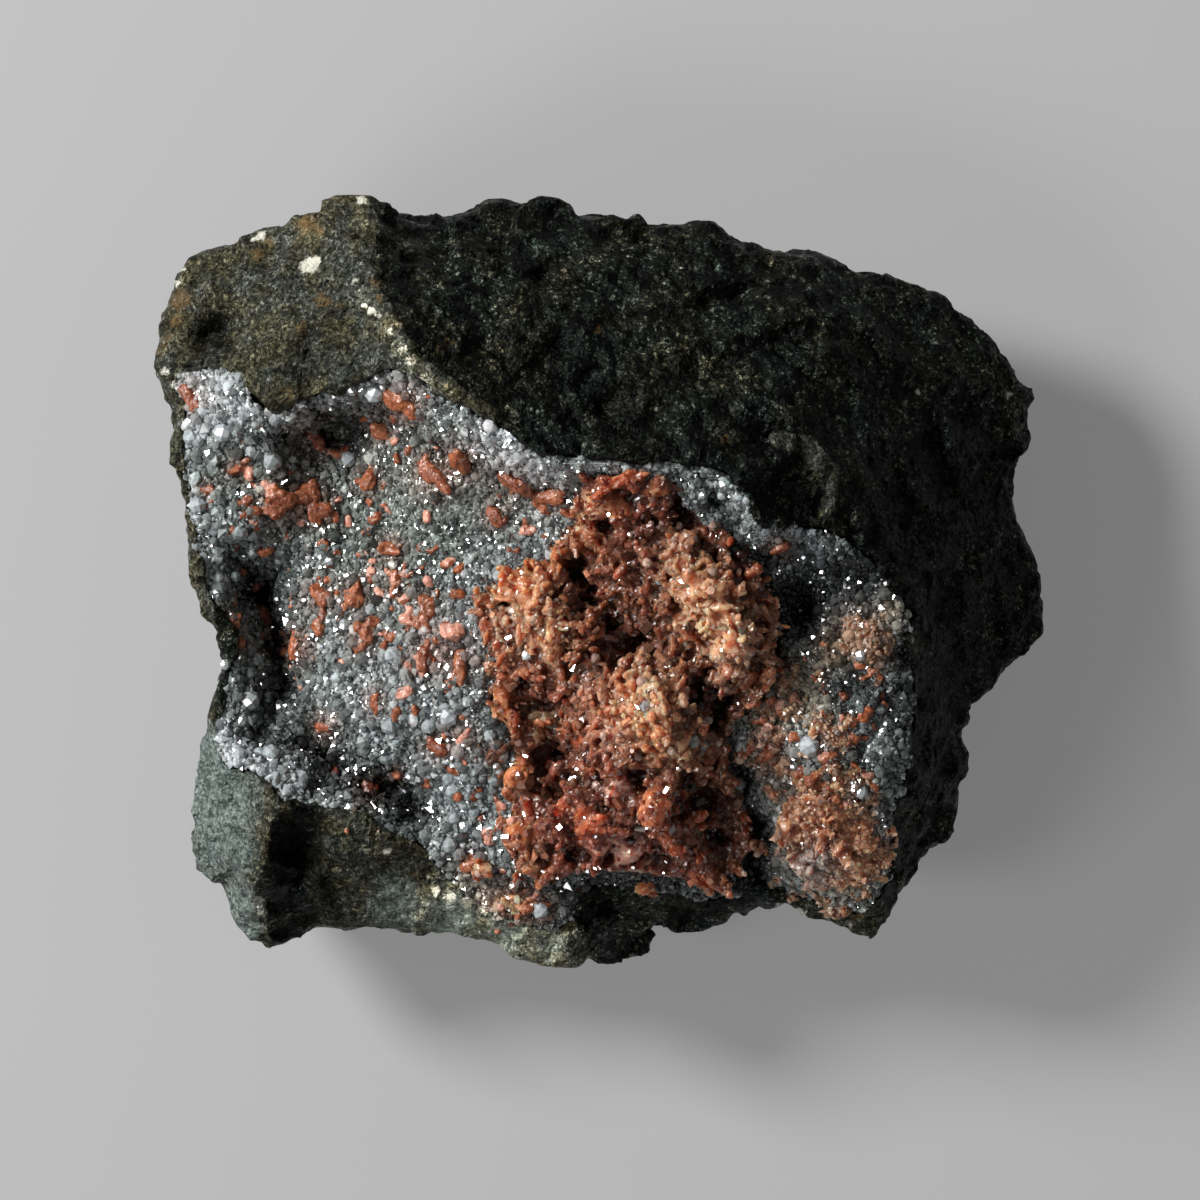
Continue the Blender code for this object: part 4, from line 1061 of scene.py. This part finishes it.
CLEAR_GREY = (0.28, 0.32, 0.315)
PALE_GREY = (0.34, 0.385, 0.375)
lining_crystals = scatter(
    "analcime_crystals_lining", crust.data, "trapezohedron", wanted=7000, mean=1.0 * MM, closeness=0.80,
    lift=0.05, ground_colour=CLEAR_GREY, patches=crust_patches, tone=0.45, flatness=0.12, glint=0.085)
lining_grains = scatter(
    "analcime_grains_lining", crust.data, "grain", wanted=34000, mean=0.46 * MM, closeness=0.42, lift=0.25,
    ground_colour=PALE_GREY, patches=crust_patches, tone=0.55, flatness=0.2)

# %% [markdown]
# ## Grains on the gmelinite
# The masses are strewn with splinters and grains of gmelinite and a few clear crystals of analcime, which
# break up the melted skin and carry most of its glints.

# %% Grains
GOLDEN, ROSY, SANDY = (0.62, 0.32, 0.19), (0.70, 0.52, 0.42), (0.50, 0.32, 0.23)
# The first patches are mostly the painted shade of the gaps and the deep red lower part
SHADED_GAP_PATCHES = MASS_PATCHES[:20]  # the first ones darken the gaps
mass_grains = scatter(
    "gmelinite_grains_centre", mass_centre.data, "needle", wanted=2200, mean=0.42 * MM, closeness=1.2,
    lift=0.2, ground_colour=GOLDEN, patches=MASS_PATCHES, tone=0.35, flatness=0.3)
mass_clear = scatter(
    "analcime_crystals_centre", mass_centre.data, "trapezohedron", wanted=500, mean=0.60 * MM, closeness=2.0,
    lift=0.1, ground_colour=ROSY, patches=SHADED_GAP_PATCHES, tone=0.3, glint=0.02)
right_grains = scatter(
    "gmelinite_grains_right", mass_right.data, "grain", wanted=1500, mean=0.50 * MM, closeness=0.7, lift=0.2,
    ground_colour=SANDY, patches=MASS_PATCHES, tone=0.35, flatness=0.3)

# %% [markdown]
# ## Larger analcime crystals
# Some analcime crystals are twice as wide as the rest, milky, and stand out of the lining.

# %% Larger analcime
# Place and width in dots, whiteness
LARGE_ANALCIME = (
    (225, 433, 24, 0.9), (272, 460, 25, 0.6), (192, 437, 19, 0.9), (253, 450, 17, 0.7),
    (375, 392, 24, 1.0), (350, 460, 20, 0.8), (200, 505, 22, 0.7), (240, 530, 22, 0.5),
    (205, 412, 14, 1.0), (248, 700, 25, 0.6), (240, 720, 16, 0.6), (270, 755, 23, 0.8),
    (300, 778, 19, 0.8), (450, 715, 24, 0.8), (365, 740, 20, 0.5), (395, 655, 22, 0.8),
    (430, 725, 20, 0.8), (450, 845, 20, 0.6), (480, 875, 19, 0.8), (540, 908, 22, 0.9),
    (742, 745, 18, 0.7), (738, 783, 19, 0.6), (810, 745, 26, 1.0), (455, 818, 15, 0.6),
    (645, 705, 18, 0.8), (690, 740, 19, 0.7), (527, 655, 14, 1.0), (612, 595, 15, 0.4),
    (390, 725, 20, 0.6), (345, 625, 16, 0.9), (330, 560, 14, 0.8), (372, 610, 14, 0.7),
    (500, 575, 16, 0.7), (283, 505, 13, 0.5), (490, 735, 16, 0.7), (860, 655, 15, 0.6),
    (700, 745, 16, 0.5), (660, 580, 12, 0.6), (560, 660, 13, 0.5), (860, 790, 18, 0.6),
    (240, 755, 18, 0.8), (226, 664, 14, 0.6), (218, 578, 14, 0.7), (745, 500, 12, 1.0),
    (722, 495, 12, 0.9),
)


# Shares of the width: how far the middle is raised, and how much of the width is built
RAISED, BUILT = 0.12, 0.90


def place_analcime(rows):
    places, sizes, colours = [], [], []
    for across, down, width, whiteness in rows:
        place, direction = ground_at(across, down)
        places.append(place + direction * width * DOT * RAISED)
        sizes.append(width * DOT * BUILT)
        colours.append(np.array(MOSS) * (1 - whiteness) + np.array(WHITE) * whiteness)
    rotations = glinting_turns("trapezohedron", len(rows), wobble=0.12)
    return join_copies("analcime_crystals_single", "trapezohedron", places, rotations, sizes, colours)


large_analcime = place_analcime(LARGE_ANALCIME)

# %% [markdown]
# ## Materials
# Each material is one Principled shader. A small helper adds a node and sets its sockets, so that a
# material reads as a list of what feeds what. Patterns read Object coordinates scaled to millimetres.


# %% Node helpers
class Maker:
    """Builds one material."""

    def __init__(self, name):
        self.material = bpy.data.materials.new(name)
        self.material.use_nodes = True
        self.tree = self.material.node_tree
        self.shader = self.tree.nodes["Principled BSDF"]
        place = self.add("ShaderNodeTexCoord").outputs["Object"]
        self.millimetres = self.add("ShaderNodeMapping", Vector=place, Scale=(1 / MM, 1 / MM, 1 / MM))

    def add(self, kind, settings=None, **sockets):
        node = self.tree.nodes.new(kind)
        for key, value in (settings or {}).items():
            setattr(node, key, value)
        for key, value in sockets.items():
            self.feed(node.inputs[key.replace("_", " ")], value)
        return node

    def feed(self, socket, value):
        if isinstance(value, bpy.types.Node):
            value = value.outputs[0]
        if isinstance(value, bpy.types.NodeSocket):
            self.tree.links.new(value, socket)
        else:
            socket.default_value = value

    def noise(self, scale, detail, rough):
        """Clouds: how many to the millimetre, how many finer layers, and how strong those are."""
        where = self.millimetres
        return self.add("ShaderNodeTexNoise", Vector=where, Scale=scale, Detail=detail, Roughness=rough)

    def cells(self, scale):
        """A random colour for each Voronoi cell."""
        return self.add("ShaderNodeTexVoronoi", Vector=self.millimetres, Scale=scale).outputs["Color"]

    def ramp(self, value, *stops):
        """Greys or colours for a value: each stop is a position and its tone."""
        node = self.add("ShaderNodeValToRGB", Fac=value)
        elements = node.color_ramp.elements
        while len(elements) < len(stops):
            elements.new(0.5)
        for element, (position, tone) in zip(elements, stops):
            element.position = position
            element.color = (tone, tone, tone, 1) if isinstance(tone, (int, float)) else (*tone, 1)
        return node.outputs["Color"]

    def mix(self, share, first, second, way="MIX"):
        """Two colours mixed by a share."""
        node = self.add("ShaderNodeMix", {"data_type": "RGBA", "blend_type": way})
        factors = [socket for socket in node.inputs if socket.name == "Factor" and socket.type == "VALUE"]
        self.feed(factors[0], share)
        colours = [socket for socket in node.inputs if socket.type == "RGBA"]
        for socket, value in zip(colours, (first, second)):
            self.feed(socket, (*value, 1) if isinstance(value, tuple) else value)
        return [socket for socket in node.outputs if socket.type == "RGBA"][0]

    def multiply(self, first, second):
        """Two colours times each other."""
        return self.mix(1.0, first, second, "MULTIPLY")

    def math(self, way, first, second):
        node = self.add("ShaderNodeMath", {"operation": way})
        self.feed(node.inputs[0], first)
        self.feed(node.inputs[1], second)
        return node.outputs[0]

    def vector_math(self, way, first, second):
        node = self.add("ShaderNodeVectorMath", {"operation": way})
        self.feed(node.inputs[0], first)
        self.feed(node.inputs[1], second)
        return node.outputs[0]

    def bump(self, height, strength, distance, before):
        """Relief from a height, on top of the relief before it."""
        return self.add("ShaderNodeBump", Height=height, Strength=strength, Distance=distance, Normal=before)

    def attribute(self, name, output="Fac"):
        """What was painted into the points under a name."""
        return self.add("ShaderNodeAttribute", {"attribute_name": name}).outputs[output]

    def finish(self, **sockets):
        for key, value in sockets.items():
            self.feed(self.shader.inputs[key.replace("_", " ")], value)
        print(self.material.name, "has", len(self.tree.nodes), "nodes")
        return self.material

# %% [markdown]
# ## Dressing a piece
# A finished piece needs more than its material. It rides on the stone's one body and says which solids it
# stands for, so that those aren't seen twice.


# %% Dress
def dress(piece, material, nodes):
    """Gives a piece its material, its body and the solids that it stands for."""
    piece.data.materials.clear()
    piece.data.materials.append(material)
    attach(piece, "root")
    if nodes:
        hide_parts(*nodes)


# %% [markdown]
# ## Zones of the basalt
# Fresh basalt is nearly black. The blocks on the left are weathered to an olive grey and end at sharp
# edges, with rusty stains, chalky spots and a slate-grey foot. Painted light brightens broken edges, the
# ledge and some faces, painted highlights and glints lie among the chalky spots, and painted shade darkens
# the hollows, the top edge and the right flank. All of that is painted into the points, because it follows
# the blocks and not a pattern. The weathered blocks have outlines, and the rest are soft round patches.

# %% Zones of the rock
# Outlines of the weathered blocks, in dots
WEATHERED = (
    ((130, 440), (130, 240), (250, 205), (345, 180), (372, 195), (384, 215), (376, 245), (382, 272),
     (389, 300), (404, 332), (424, 358), (456, 384), (500, 412), (480, 440), (300, 460), (215, 420),
     (215, 740), (290, 790), (284, 806), (271, 822), (270, 845), (261, 878), (246, 896), (266, 920),
     (270, 960), (160, 960)),
    ((330, 800), (420, 838), (480, 890), (570, 908), (600, 980), (420, 950), (330, 948), (300, 870)),
    ((765, 432), (810, 436), (838, 470), (836, 500), (815, 522), (822, 490), (800, 455), (770, 446)),
    ((800, 905), (890, 900), (890, 945), (830, 935)),
)
# Stains, chalk with painted highlights and glints, painted shade, painted light and slate: place and
# radius in dots, strength
RUSTY = (
    (182, 300, 13, 1.0), (178, 320, 10, 0.8), (258, 255, 8, 1.0), (306, 224, 12, 0.9), (320, 232, 9, 0.7),
    (303, 330, 10, 0.7), (325, 302, 12, 0.8), (340, 308, 9, 0.6), (300, 350, 8, 0.5), (375, 285, 7, 0.7),
    (382, 300, 6, 0.7), (288, 395, 14, 0.5), (600, 330, 8, 0.5), (725, 440, 9, 0.5), (240, 350, 8, 0.4),
    (160, 350, 12, 0.6), (168, 338, 6, 0.7), (188, 380, 8, 0.6), (440, 352, 10, 0.5), (450, 345, 8, 0.5),
    (290, 805, 16, 0.4), (420, 870, 18, 0.4), (860, 910, 16, 0.6), (270, 245, 8, 0.6), (560, 300, 9, 0.4),
)
# Chalky spots, with painted highlights along the ridge and painted glints on the dark face
PALE = (
    (313, 266, 9, 1.0), (306, 268, 7, 1.0), (318, 263, 6, 1.0), (357, 284, 4, 0.9), (361, 292, 3, 0.8),
    (366, 307, 4, 0.9), (373, 313, 5, 1.0), (380, 317, 4, 0.9), (392, 334, 9, 0.5), (403, 349, 9, 0.5),
    (412, 363, 9, 0.55), (424, 378, 9, 0.5), (402, 376, 8, 0.6), (388, 378, 7, 0.7), (388, 851, 5, 1.0),
    (258, 903, 8, 1.0), (262, 912, 6, 1.0), (250, 897, 4, 0.9), (247, 922, 4, 0.9), (918, 392, 4, 0.9),
    (1010, 395, 5, 0.8), (870, 365, 3, 0.8), (630, 257, 3, 1.0), (682, 268, 3, 0.9), (178, 283, 5, 0.9),
    (184, 270, 4, 0.8), (262, 236, 6, 0.9), (254, 240, 4, 0.8), (800, 915, 9, 0.8), (830, 912, 8, 0.8),
    (780, 908, 7, 0.8), (850, 925, 6, 0.7), (436, 892, 6, 0.9), (450, 898, 8, 0.9), (466, 903, 8, 0.9),
    (484, 909, 7, 0.8), (165, 372, 6, 0.9), (175, 385, 5, 0.8), (363, 202, 7, 0.8),
)
# Painted shade: hollows, the top edge, the right flank and faces turned from the lamp
PAINTED_SHADE = (
    (208, 328, 17, 1.0), (222, 345, 15, 1.0), (200, 348, 14, 0.9), (300, 352, 14, 0.7),
    (290, 375, 14, 0.7), (270, 395, 20, 0.5), (340, 360, 26, 0.35), (395, 270, 16, 0.8),
    (402, 300, 14, 0.9), (420, 330, 14, 0.8), (450, 360, 16, 0.7), (300, 830, 26, 0.9),
    (290, 860, 26, 0.9), (320, 860, 22, 0.8), (280, 895, 20, 0.9), (325, 900, 22, 0.6),
    (600, 470, 60, 0.6), (820, 500, 14, 0.4), (818, 462, 26, 0.3), (900, 560, 80, 0.8),
    (960, 520, 80, 0.7), (920, 700, 70, 0.8), (800, 445, 10, 0.5), (440, 203, 17, 0.8),
    (475, 203, 19, 0.8), (510, 208, 19, 0.8), (550, 215, 19, 0.8), (590, 220, 19, 0.8),
    (630, 226, 19, 0.8), (670, 231, 19, 0.8), (710, 234, 20, 0.8), (745, 240, 20, 0.8),
    (556, 348, 22, 0.6), (604, 408, 16, 0.6), (542, 281, 15, 0.5), (778, 342, 24, 0.5),
)
# Painted light: the ledge, broken edges and some faces
LIT = (
    (470, 928, 40, 0.8), (520, 935, 44, 0.9), (560, 948, 30, 0.9), (430, 905, 22, 0.9),
    (640, 905, 46, 0.6), (480, 300, 60, 0.16), (590, 300, 60, 0.16), (690, 340, 50, 0.12),
    (430, 250, 30, 0.15), (372, 222, 10, 0.6), (392, 330, 9, 0.9), (402, 350, 9, 0.9), (414, 368, 9, 0.9),
    (430, 384, 10, 0.9), (447, 396, 10, 0.8), (367, 300, 10, 0.6), (300, 220, 30, 0.2),
)
SLATE = (
    (200, 760, 34, 1.0), (212, 800, 46, 1.0), (222, 850, 34, 1.0), (236, 905, 22, 1.0),
    (245, 930, 16, 0.9), (395, 905, 34, 0.6), (450, 920, 30, 0.7), (505, 930, 30, 0.5),
    (550, 945, 24, 0.45),
)
print(len(WEATHERED), "outlines and", len(RUSTY + PALE + PAINTED_SHADE + LIT + SLATE), "round patches")

# %% [markdown]
# ## Painting the zones
# Each point of the rock gets its share of every zone as an attribute that the material reads. Seen from
# above the outlines are right, but on the sides they would run straight down, so there they are bent by a
# noise.


# %% Painting
SOFT_BORDER = 5 * DOT


def inside(points, outline):
    """1 inside an outline, 0 outside, with a narrow soft edge."""
    corners = np.array([spot(*corner)[:2] for corner in outline])
    x, y = points[:, 0], points[:, 1]
    within, nearest = np.zeros(len(points), bool), np.full(len(points), 1.0)
    for (ax, ay), (bx, by) in zip(corners, np.roll(corners, -1, 0)):
        wide, high = bx - ax, by - ay
        crossing = (ay > y) != (by > y)
        with np.errstate(divide="ignore", invalid="ignore"):
            within ^= crossing & (x < wide * (y - ay) / high + ax)
        share = np.clip(((x - ax) * wide + (y - ay) * high) / (wide ** 2 + high ** 2), 0, 1)
        nearest = np.minimum(nearest, np.hypot(x - ax - share * wide, y - ay - share * high))
    return np.clip(0.5 + np.where(within, nearest, -nearest) / SOFT_BORDER, 0, 1)


def paint(piece, name, value):
    made = piece.data.attributes.new(name, "FLOAT", "POINT")
    made.data.foreach_set("value", value.astype(np.float32))


rock_points, rock_outward = read_points(rock.data)
on_top = np.clip(rock_outward[:, 2] * 2 + 1, 0, 1)
bends = np.array([noise.noise_vector(Vector(point) / (9 * MM)) for point in rock_points.tolist()])
side_share = np.clip(1.2 - rock_outward[:, 2:] * 2.5, 0, 1)
bent = rock_points + bends * side_share * 7 * MM
weathered = np.max([inside(bent, outline) for outline in WEATHERED], axis=0)
paint(rock, "weathered", weathered)
for name, patches in (("rusty", RUSTY), ("pale", PALE), ("shaded", PAINTED_SHADE), ("lit", LIT), ("slate", SLATE)):
    paint(rock, name, fall_off(rock_points, patches) * on_top)
print("weathered share of the rock:", round(float(weathered.mean()), 2))

# %% [markdown]
# ## Basalt
# A break through basalt shows dark grains with fine pale feldspar between them, and here and there a flat
# face that glints. Grain and glints come from Voronoi cells, which look like crystals cut by a break. The
# relief comes from a soft noise and not from the cells, whose steps would look like felt.


# %% Basalt material
FELDSPAR = 3.1  # grains to the millimetre
FINE_GRAINS = 7.0


def glints(m, cells_to_the_millimetre, strength):
    """A normal that jumps from one small crystal face to the next."""
    lean = m.vector_math("SUBTRACT", m.cells(cells_to_the_millimetre), (0.5, 0.5, 0.5))
    lean = m.vector_math("MULTIPLY", lean, (strength, strength, strength))
    smooth = m.add("ShaderNodeNewGeometry").outputs["Normal"]
    return m.vector_math("NORMALIZE", m.vector_math("ADD", smooth, lean), (0, 0, 0))


def cell_value(m, scale):
    """A random number for each Voronoi cell."""
    return m.add("ShaderNodeSeparateColor", Color=m.cells(scale)).outputs["Red"]


def spots(m, name, ragged):
    """A painted patch with a ragged edge."""
    rough = m.math("MULTIPLY", m.math("SUBTRACT", m.noise(1.6, 6.0, 0.8), 0.5), ragged)
    return m.ramp(m.math("ADD", m.attribute(name), rough), (0.42, 0.0), (0.62, 1.0))


def fresh_rock(m, value):
    """Nearly black, with a warm or cool cast and darker and lighter clumps."""
    grains = m.ramp(
        value, (0.38, (0.0012, 0.0014, 0.0010)), (0.50, (0.006, 0.007, 0.0055)),
        (0.60, (0.026, 0.028, 0.022)), (0.73, (0.30, 0.31, 0.27)))
    warm_to_cool = m.ramp(m.noise(0.16, 3.0, 0.6), (0.40, 0.0), (0.60, 1.0))
    cast = m.mix(warm_to_cool, (1.10, 0.98, 0.74), (0.82, 1.02, 1.02))
    clumps = m.ramp(m.noise(0.42, 5.0, 0.65), (0.42, 0.06), (0.62, 1.30))
    broad_clumps = m.ramp(m.noise(0.13, 3.0, 0.6), (0.40, 0.45), (0.60, 1.25))
    return m.multiply(grains, m.multiply(cast, m.multiply(clumps, broad_clumps)))


def old_rock(m, value):
    """Weathered to grey, browner in places."""
    grey = m.ramp(
        value, (0.36, (0.004, 0.004, 0.003)), (0.48, (0.022, 0.024, 0.019)),
        (0.60, (0.066, 0.070, 0.057)), (0.74, (0.25, 0.26, 0.23)))
    brown = m.multiply(grey, (1.0, 0.85, 0.58))
    return m.mix(m.ramp(m.noise(0.30, 4.0, 0.6), (0.42, 0.0), (0.58, 1.0)), grey, brown)


def basalt_material():
    m = Maker("basalt")
    grain = m.noise(1.3, 6.0, 0.75)
    coarse = m.math("MULTIPLY", cell_value(m, FELDSPAR), 0.24)
    fine = m.math("MULTIPLY", cell_value(m, FINE_GRAINS), 0.16)
    value = m.math("ADD", m.math("ADD", coarse, fine), m.math("MULTIPLY", grain, 0.60))

    ragged = m.math("MULTIPLY", m.math("SUBTRACT", grain, 0.5), 0.5)
    weathered = m.ramp(m.math("ADD", m.attribute("weathered"), ragged), (0.35, 0.0), (0.65, 1.0))
    colour = m.mix(weathered, fresh_rock(m, value), old_rock(m, value))
    rust = m.mix(value, (0.006, 0.004, 0.002), (0.20, 0.125, 0.050))
    colour = m.mix(m.math("MULTIPLY", spots(m, "rusty", 2.6), 0.7), colour, rust)
    # Chalk, which along the ridge and on the dark face is a painted highlight and glint
    chalk_and_glints = m.mix(value, (0.14, 0.14, 0.11), (0.75, 0.73, 0.62))
    colour = m.mix(spots(m, "pale", 1.6), colour, chalk_and_glints)
    slate = m.ramp(
        value, (0.36, (0.030, 0.038, 0.034)), (0.50, (0.100, 0.124, 0.113)),
        (0.74, (0.26, 0.30, 0.28)))
    colour = m.mix(m.ramp(m.attribute("slate"), (0.2, 0.0), (0.6, 0.9)), colour, slate)
    # Painted light: brightens the ledge, broken edges and some faces
    colour = m.multiply(colour, m.mix(m.attribute("lit"), (1.0, 1.0, 1.0), (3.4, 3.2, 2.9)))
    # Painted shade: darker in hollows, along the top edge and on the right flank
    shaded = m.math("SUBTRACT", 1.0, m.math("MULTIPLY", m.attribute("shaded"), 0.92))
    colour = m.multiply(colour, shaded)

    shine = m.ramp(cell_value(m, FELDSPAR), (0.2, 0.52), (0.9, 0.26))
    lumps = m.bump(
        m.noise(0.75, 2.0, 0.5), strength=0.8, distance=0.9 * MM, before=glints(m, FELDSPAR, 0.6))
    relief = m.bump(m.noise(2.2, 3.0, 0.6), strength=0.8, distance=0.34 * MM, before=lumps)
    return m.finish(
        Base_Color=colour, Roughness=shine, Normal=relief, IOR=1.5, Specular_IOR_Level=0.09,
        Specular_Tint=(0.88, 1.0, 0.90, 1.0))


dress(rock, basalt_material(), ["basalt_matrix"])

# %% [markdown]
# ## Crystals
# Analcime is glass-clear where it is thin and milky where it is cracked, gmelinite is a cloudy orange.
# Both let part of the light through, so they take up the colour of what they sit on. The share of light
# that passes, the refraction and the gloss are plain numbers; only the colour comes from the points. Very
# small crystal faces show as glints: each Voronoi cell of the surface turns its normal its own way.


# %% Crystal materials
ANALCIME_IOR, GMELINITE_IOR = 1.487, 1.48


def crust_material(name, gloss, scatter_share, depth, refraction, cell, glint, gap_shade_tone, speck_and_sheen_tone, coat):
    """Grown-together grains: the painted colour, shade painted in gaps, flecks partly painted sheen, glints.
    """
    m = Maker(name)
    tint = m.attribute("tint", "Color")
    # Painted shade: darker where a noise marks the gaps of the grains
    between = m.ramp(m.noise(1.9, 5.0, 0.7), (0.36, 1.0), (0.56, 0.0))
    colour = m.mix(between, tint, m.multiply(tint, gap_shade_tone))
    # Light flecks, partly the grains' own colour and partly painted sheen
    specks_and_sheen = m.ramp(m.noise(3.4, 3.0, 0.6), (0.57, 0.0), (0.66, 0.75))
    colour = m.mix(specks_and_sheen, colour, m.mix(0.40, tint, speck_and_sheen_tone))
    return m.finish(
        Base_Color=colour, Roughness=gloss, Normal=glints(m, MM / cell, glint), IOR=refraction,
        Subsurface_Weight=scatter_share, Subsurface_Radius=(1.0, 0.42, 0.25), Subsurface_Scale=depth,
        Coat_Weight=coat, Coat_Roughness=0.06, Coat_IOR=1.5)


def crystal_material(name, clear, gloss, refraction, scatter_share):
    """Single crystals: part of the light goes straight through, part is scattered by clouds inside."""
    m = Maker(name)
    cloud = m.ramp(m.noise(1.6, 4.0, 0.65), (0.35, 0.7), (0.65, 1.3))
    colour = m.multiply(m.attribute("tint", "Color"), cloud)
    return m.finish(
        Base_Color=colour, Roughness=gloss, Transmission_Weight=clear, IOR=refraction, Coat_Weight=0.7,
        Subsurface_Weight=scatter_share, Subsurface_Radius=(1.0, 0.9, 0.8), Subsurface_Scale=0.5 * MM,
        Coat_Roughness=0.04, Coat_IOR=1.6)


analcime_clear = crystal_material(
    "analcime", clear=0.45, gloss=0.10, refraction=ANALCIME_IOR, scatter_share=0.8)
gmelinite_clear = crystal_material(
    "gmelinite", clear=0.30, gloss=0.12, refraction=GMELINITE_IOR, scatter_share=0.8)
analcime_ground = crust_material(
    "analcime_ground", gloss=0.22, scatter_share=0.0, depth=0.5 * MM, refraction=ANALCIME_IOR,
    cell=0.28 * MM, glint=0.6, gap_shade_tone=(0.28, 0.26, 0.24), speck_and_sheen_tone=(0.78, 0.80, 0.78), coat=0.0)
gmelinite_ground = crust_material(
    "gmelinite_ground", gloss=0.28, scatter_share=1.0, depth=3.6 * MM, refraction=GMELINITE_IOR,
    cell=0.34 * MM, glint=0.32, gap_shade_tone=(0.66, 0.54, 0.50), speck_and_sheen_tone=(0.68, 0.44, 0.31), coat=0.10)
gmelinite_dull = crust_material(
    "gmelinite_single", gloss=0.38, scatter_share=0.8, depth=0.8 * MM, refraction=GMELINITE_IOR,
    cell=0.24 * MM, glint=0.45, gap_shade_tone=(0.55, 0.42, 0.38), speck_and_sheen_tone=(0.52, 0.25, 0.14), coat=0.12)

# %% [markdown]
# ## Dressing the pieces
# Each piece gets its material and says which solids it stands for. The grains between the crystals stand
# for no solid of their own, so they only ride along.

# %% Dress the pieces
analcime_nodes = [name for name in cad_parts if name.startswith("analcime_crystal")]
gmelinite_nodes = [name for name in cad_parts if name.startswith("gmelinite_crystal")]

dress(crust, analcime_ground, ["analcime_druse"])
dress(mass_centre, gmelinite_ground, ["gmelinite_cluster_centre"])
dress(mass_tips, gmelinite_ground, [])
dress(mass_right, gmelinite_ground, ["gmelinite_cluster_right"])
dress(singles, gmelinite_dull, gmelinite_nodes)
dress(large_analcime, analcime_clear, analcime_nodes)
for piece in (lining_crystals, lining_grains, mass_clear):
    dress(piece, analcime_clear, [])
for piece in (mass_grains, right_grains):
    dress(piece, gmelinite_clear, [])
print(len(analcime_nodes), "analcime and", len(gmelinite_nodes), "gmelinite solids are stood for")

# %% [markdown]
# ## Studio
# The specimen lies on a plain pale floor. The main lamp stands low on the left, as the photograph's does,
# so that ridges throw shadows to the right. It is wide enough to be mirrored in many crystal faces. A
# weak lamp opposite and a dim room keep the shadows open, and the floor glows a little so that it stays
# pale in them.

# %% Floor and lamps
def lay_floor():
    bm = bmesh.new()
    bmesh.ops.create_grid(bm, x_segments=1, y_segments=1, size=2.0)
    bmesh.ops.translate(bm, vec=(0, 0, -0.02 * MM), verts=bm.verts)
    floor = link("floor", finished(bm, "floor"))
    floor.data.materials.append(Maker("pale_floor").finish(
        Base_Color=(0.24, 0.24, 0.24, 1), Roughness=0.9, Emission_Color=(1, 1, 1, 1),
        Emission_Strength=0.16))


def hang_lamp(name, heading, height, distance, size, power):
    """An area lamp that looks at the specimen from a heading and a height in degrees."""
    lamp = bpy.data.lights.new(name, "AREA")
    lamp.shape = "DISK"
    lamp.size = size
    lamp.energy = power
    away = towards(heading, height)
    made = link(name, lamp)
    made.location = away * distance + Vector((0, 0, 20 * MM))
    made.rotation_euler = away.to_track_quat("Z", "Y").to_euler()


lay_floor()
hang_lamp("key_lamp", heading=KEY_HEADING, height=KEY_RISE, distance=0.9, size=0.26, power=13.0)
hang_lamp("left_lamp", heading=205, height=42, distance=0.9, size=0.30, power=3.0)
hang_lamp("fill_lamp", heading=-10, height=45, distance=1.1, size=0.9, power=0.5)

world = bpy.data.worlds.new("room")
world.use_nodes = True
sky = world.node_tree.nodes["Background"]
sky.inputs["Color"].default_value = (1, 1, 1, 1)
sky.inputs["Strength"].default_value = 0.10
bpy.context.scene.world = world
bpy.context.scene.view_settings.view_transform = "Standard"
print("lamps:", [lamp.name for lamp in bpy.data.lights])

# %% [markdown]
# ## Camera
# The camera looks straight down from far off, so that the sides of the stone don't spread towards the
# corners. Its lens is chosen so that the photograph's 1200 dots fill the picture at the middle of the
# stone's thickness.

# %% Camera
CAMERA_HEIGHT = 2.5
MIDDLE_LEVEL = 22 * MM
SENSOR = 36
PHOTO = 1200
lens = bpy.data.cameras.new("camera")
lens.sensor_width = SENSOR
lens.lens = SENSOR * (CAMERA_HEIGHT - MIDDLE_LEVEL) / (PHOTO * DOT)
camera = link("camera", lens)
camera.location = spot(PHOTO / 2, PHOTO / 2) + Vector((0, 0, CAMERA_HEIGHT))
bpy.context.scene.camera = camera
print("lens", round(lens.lens), "mm")
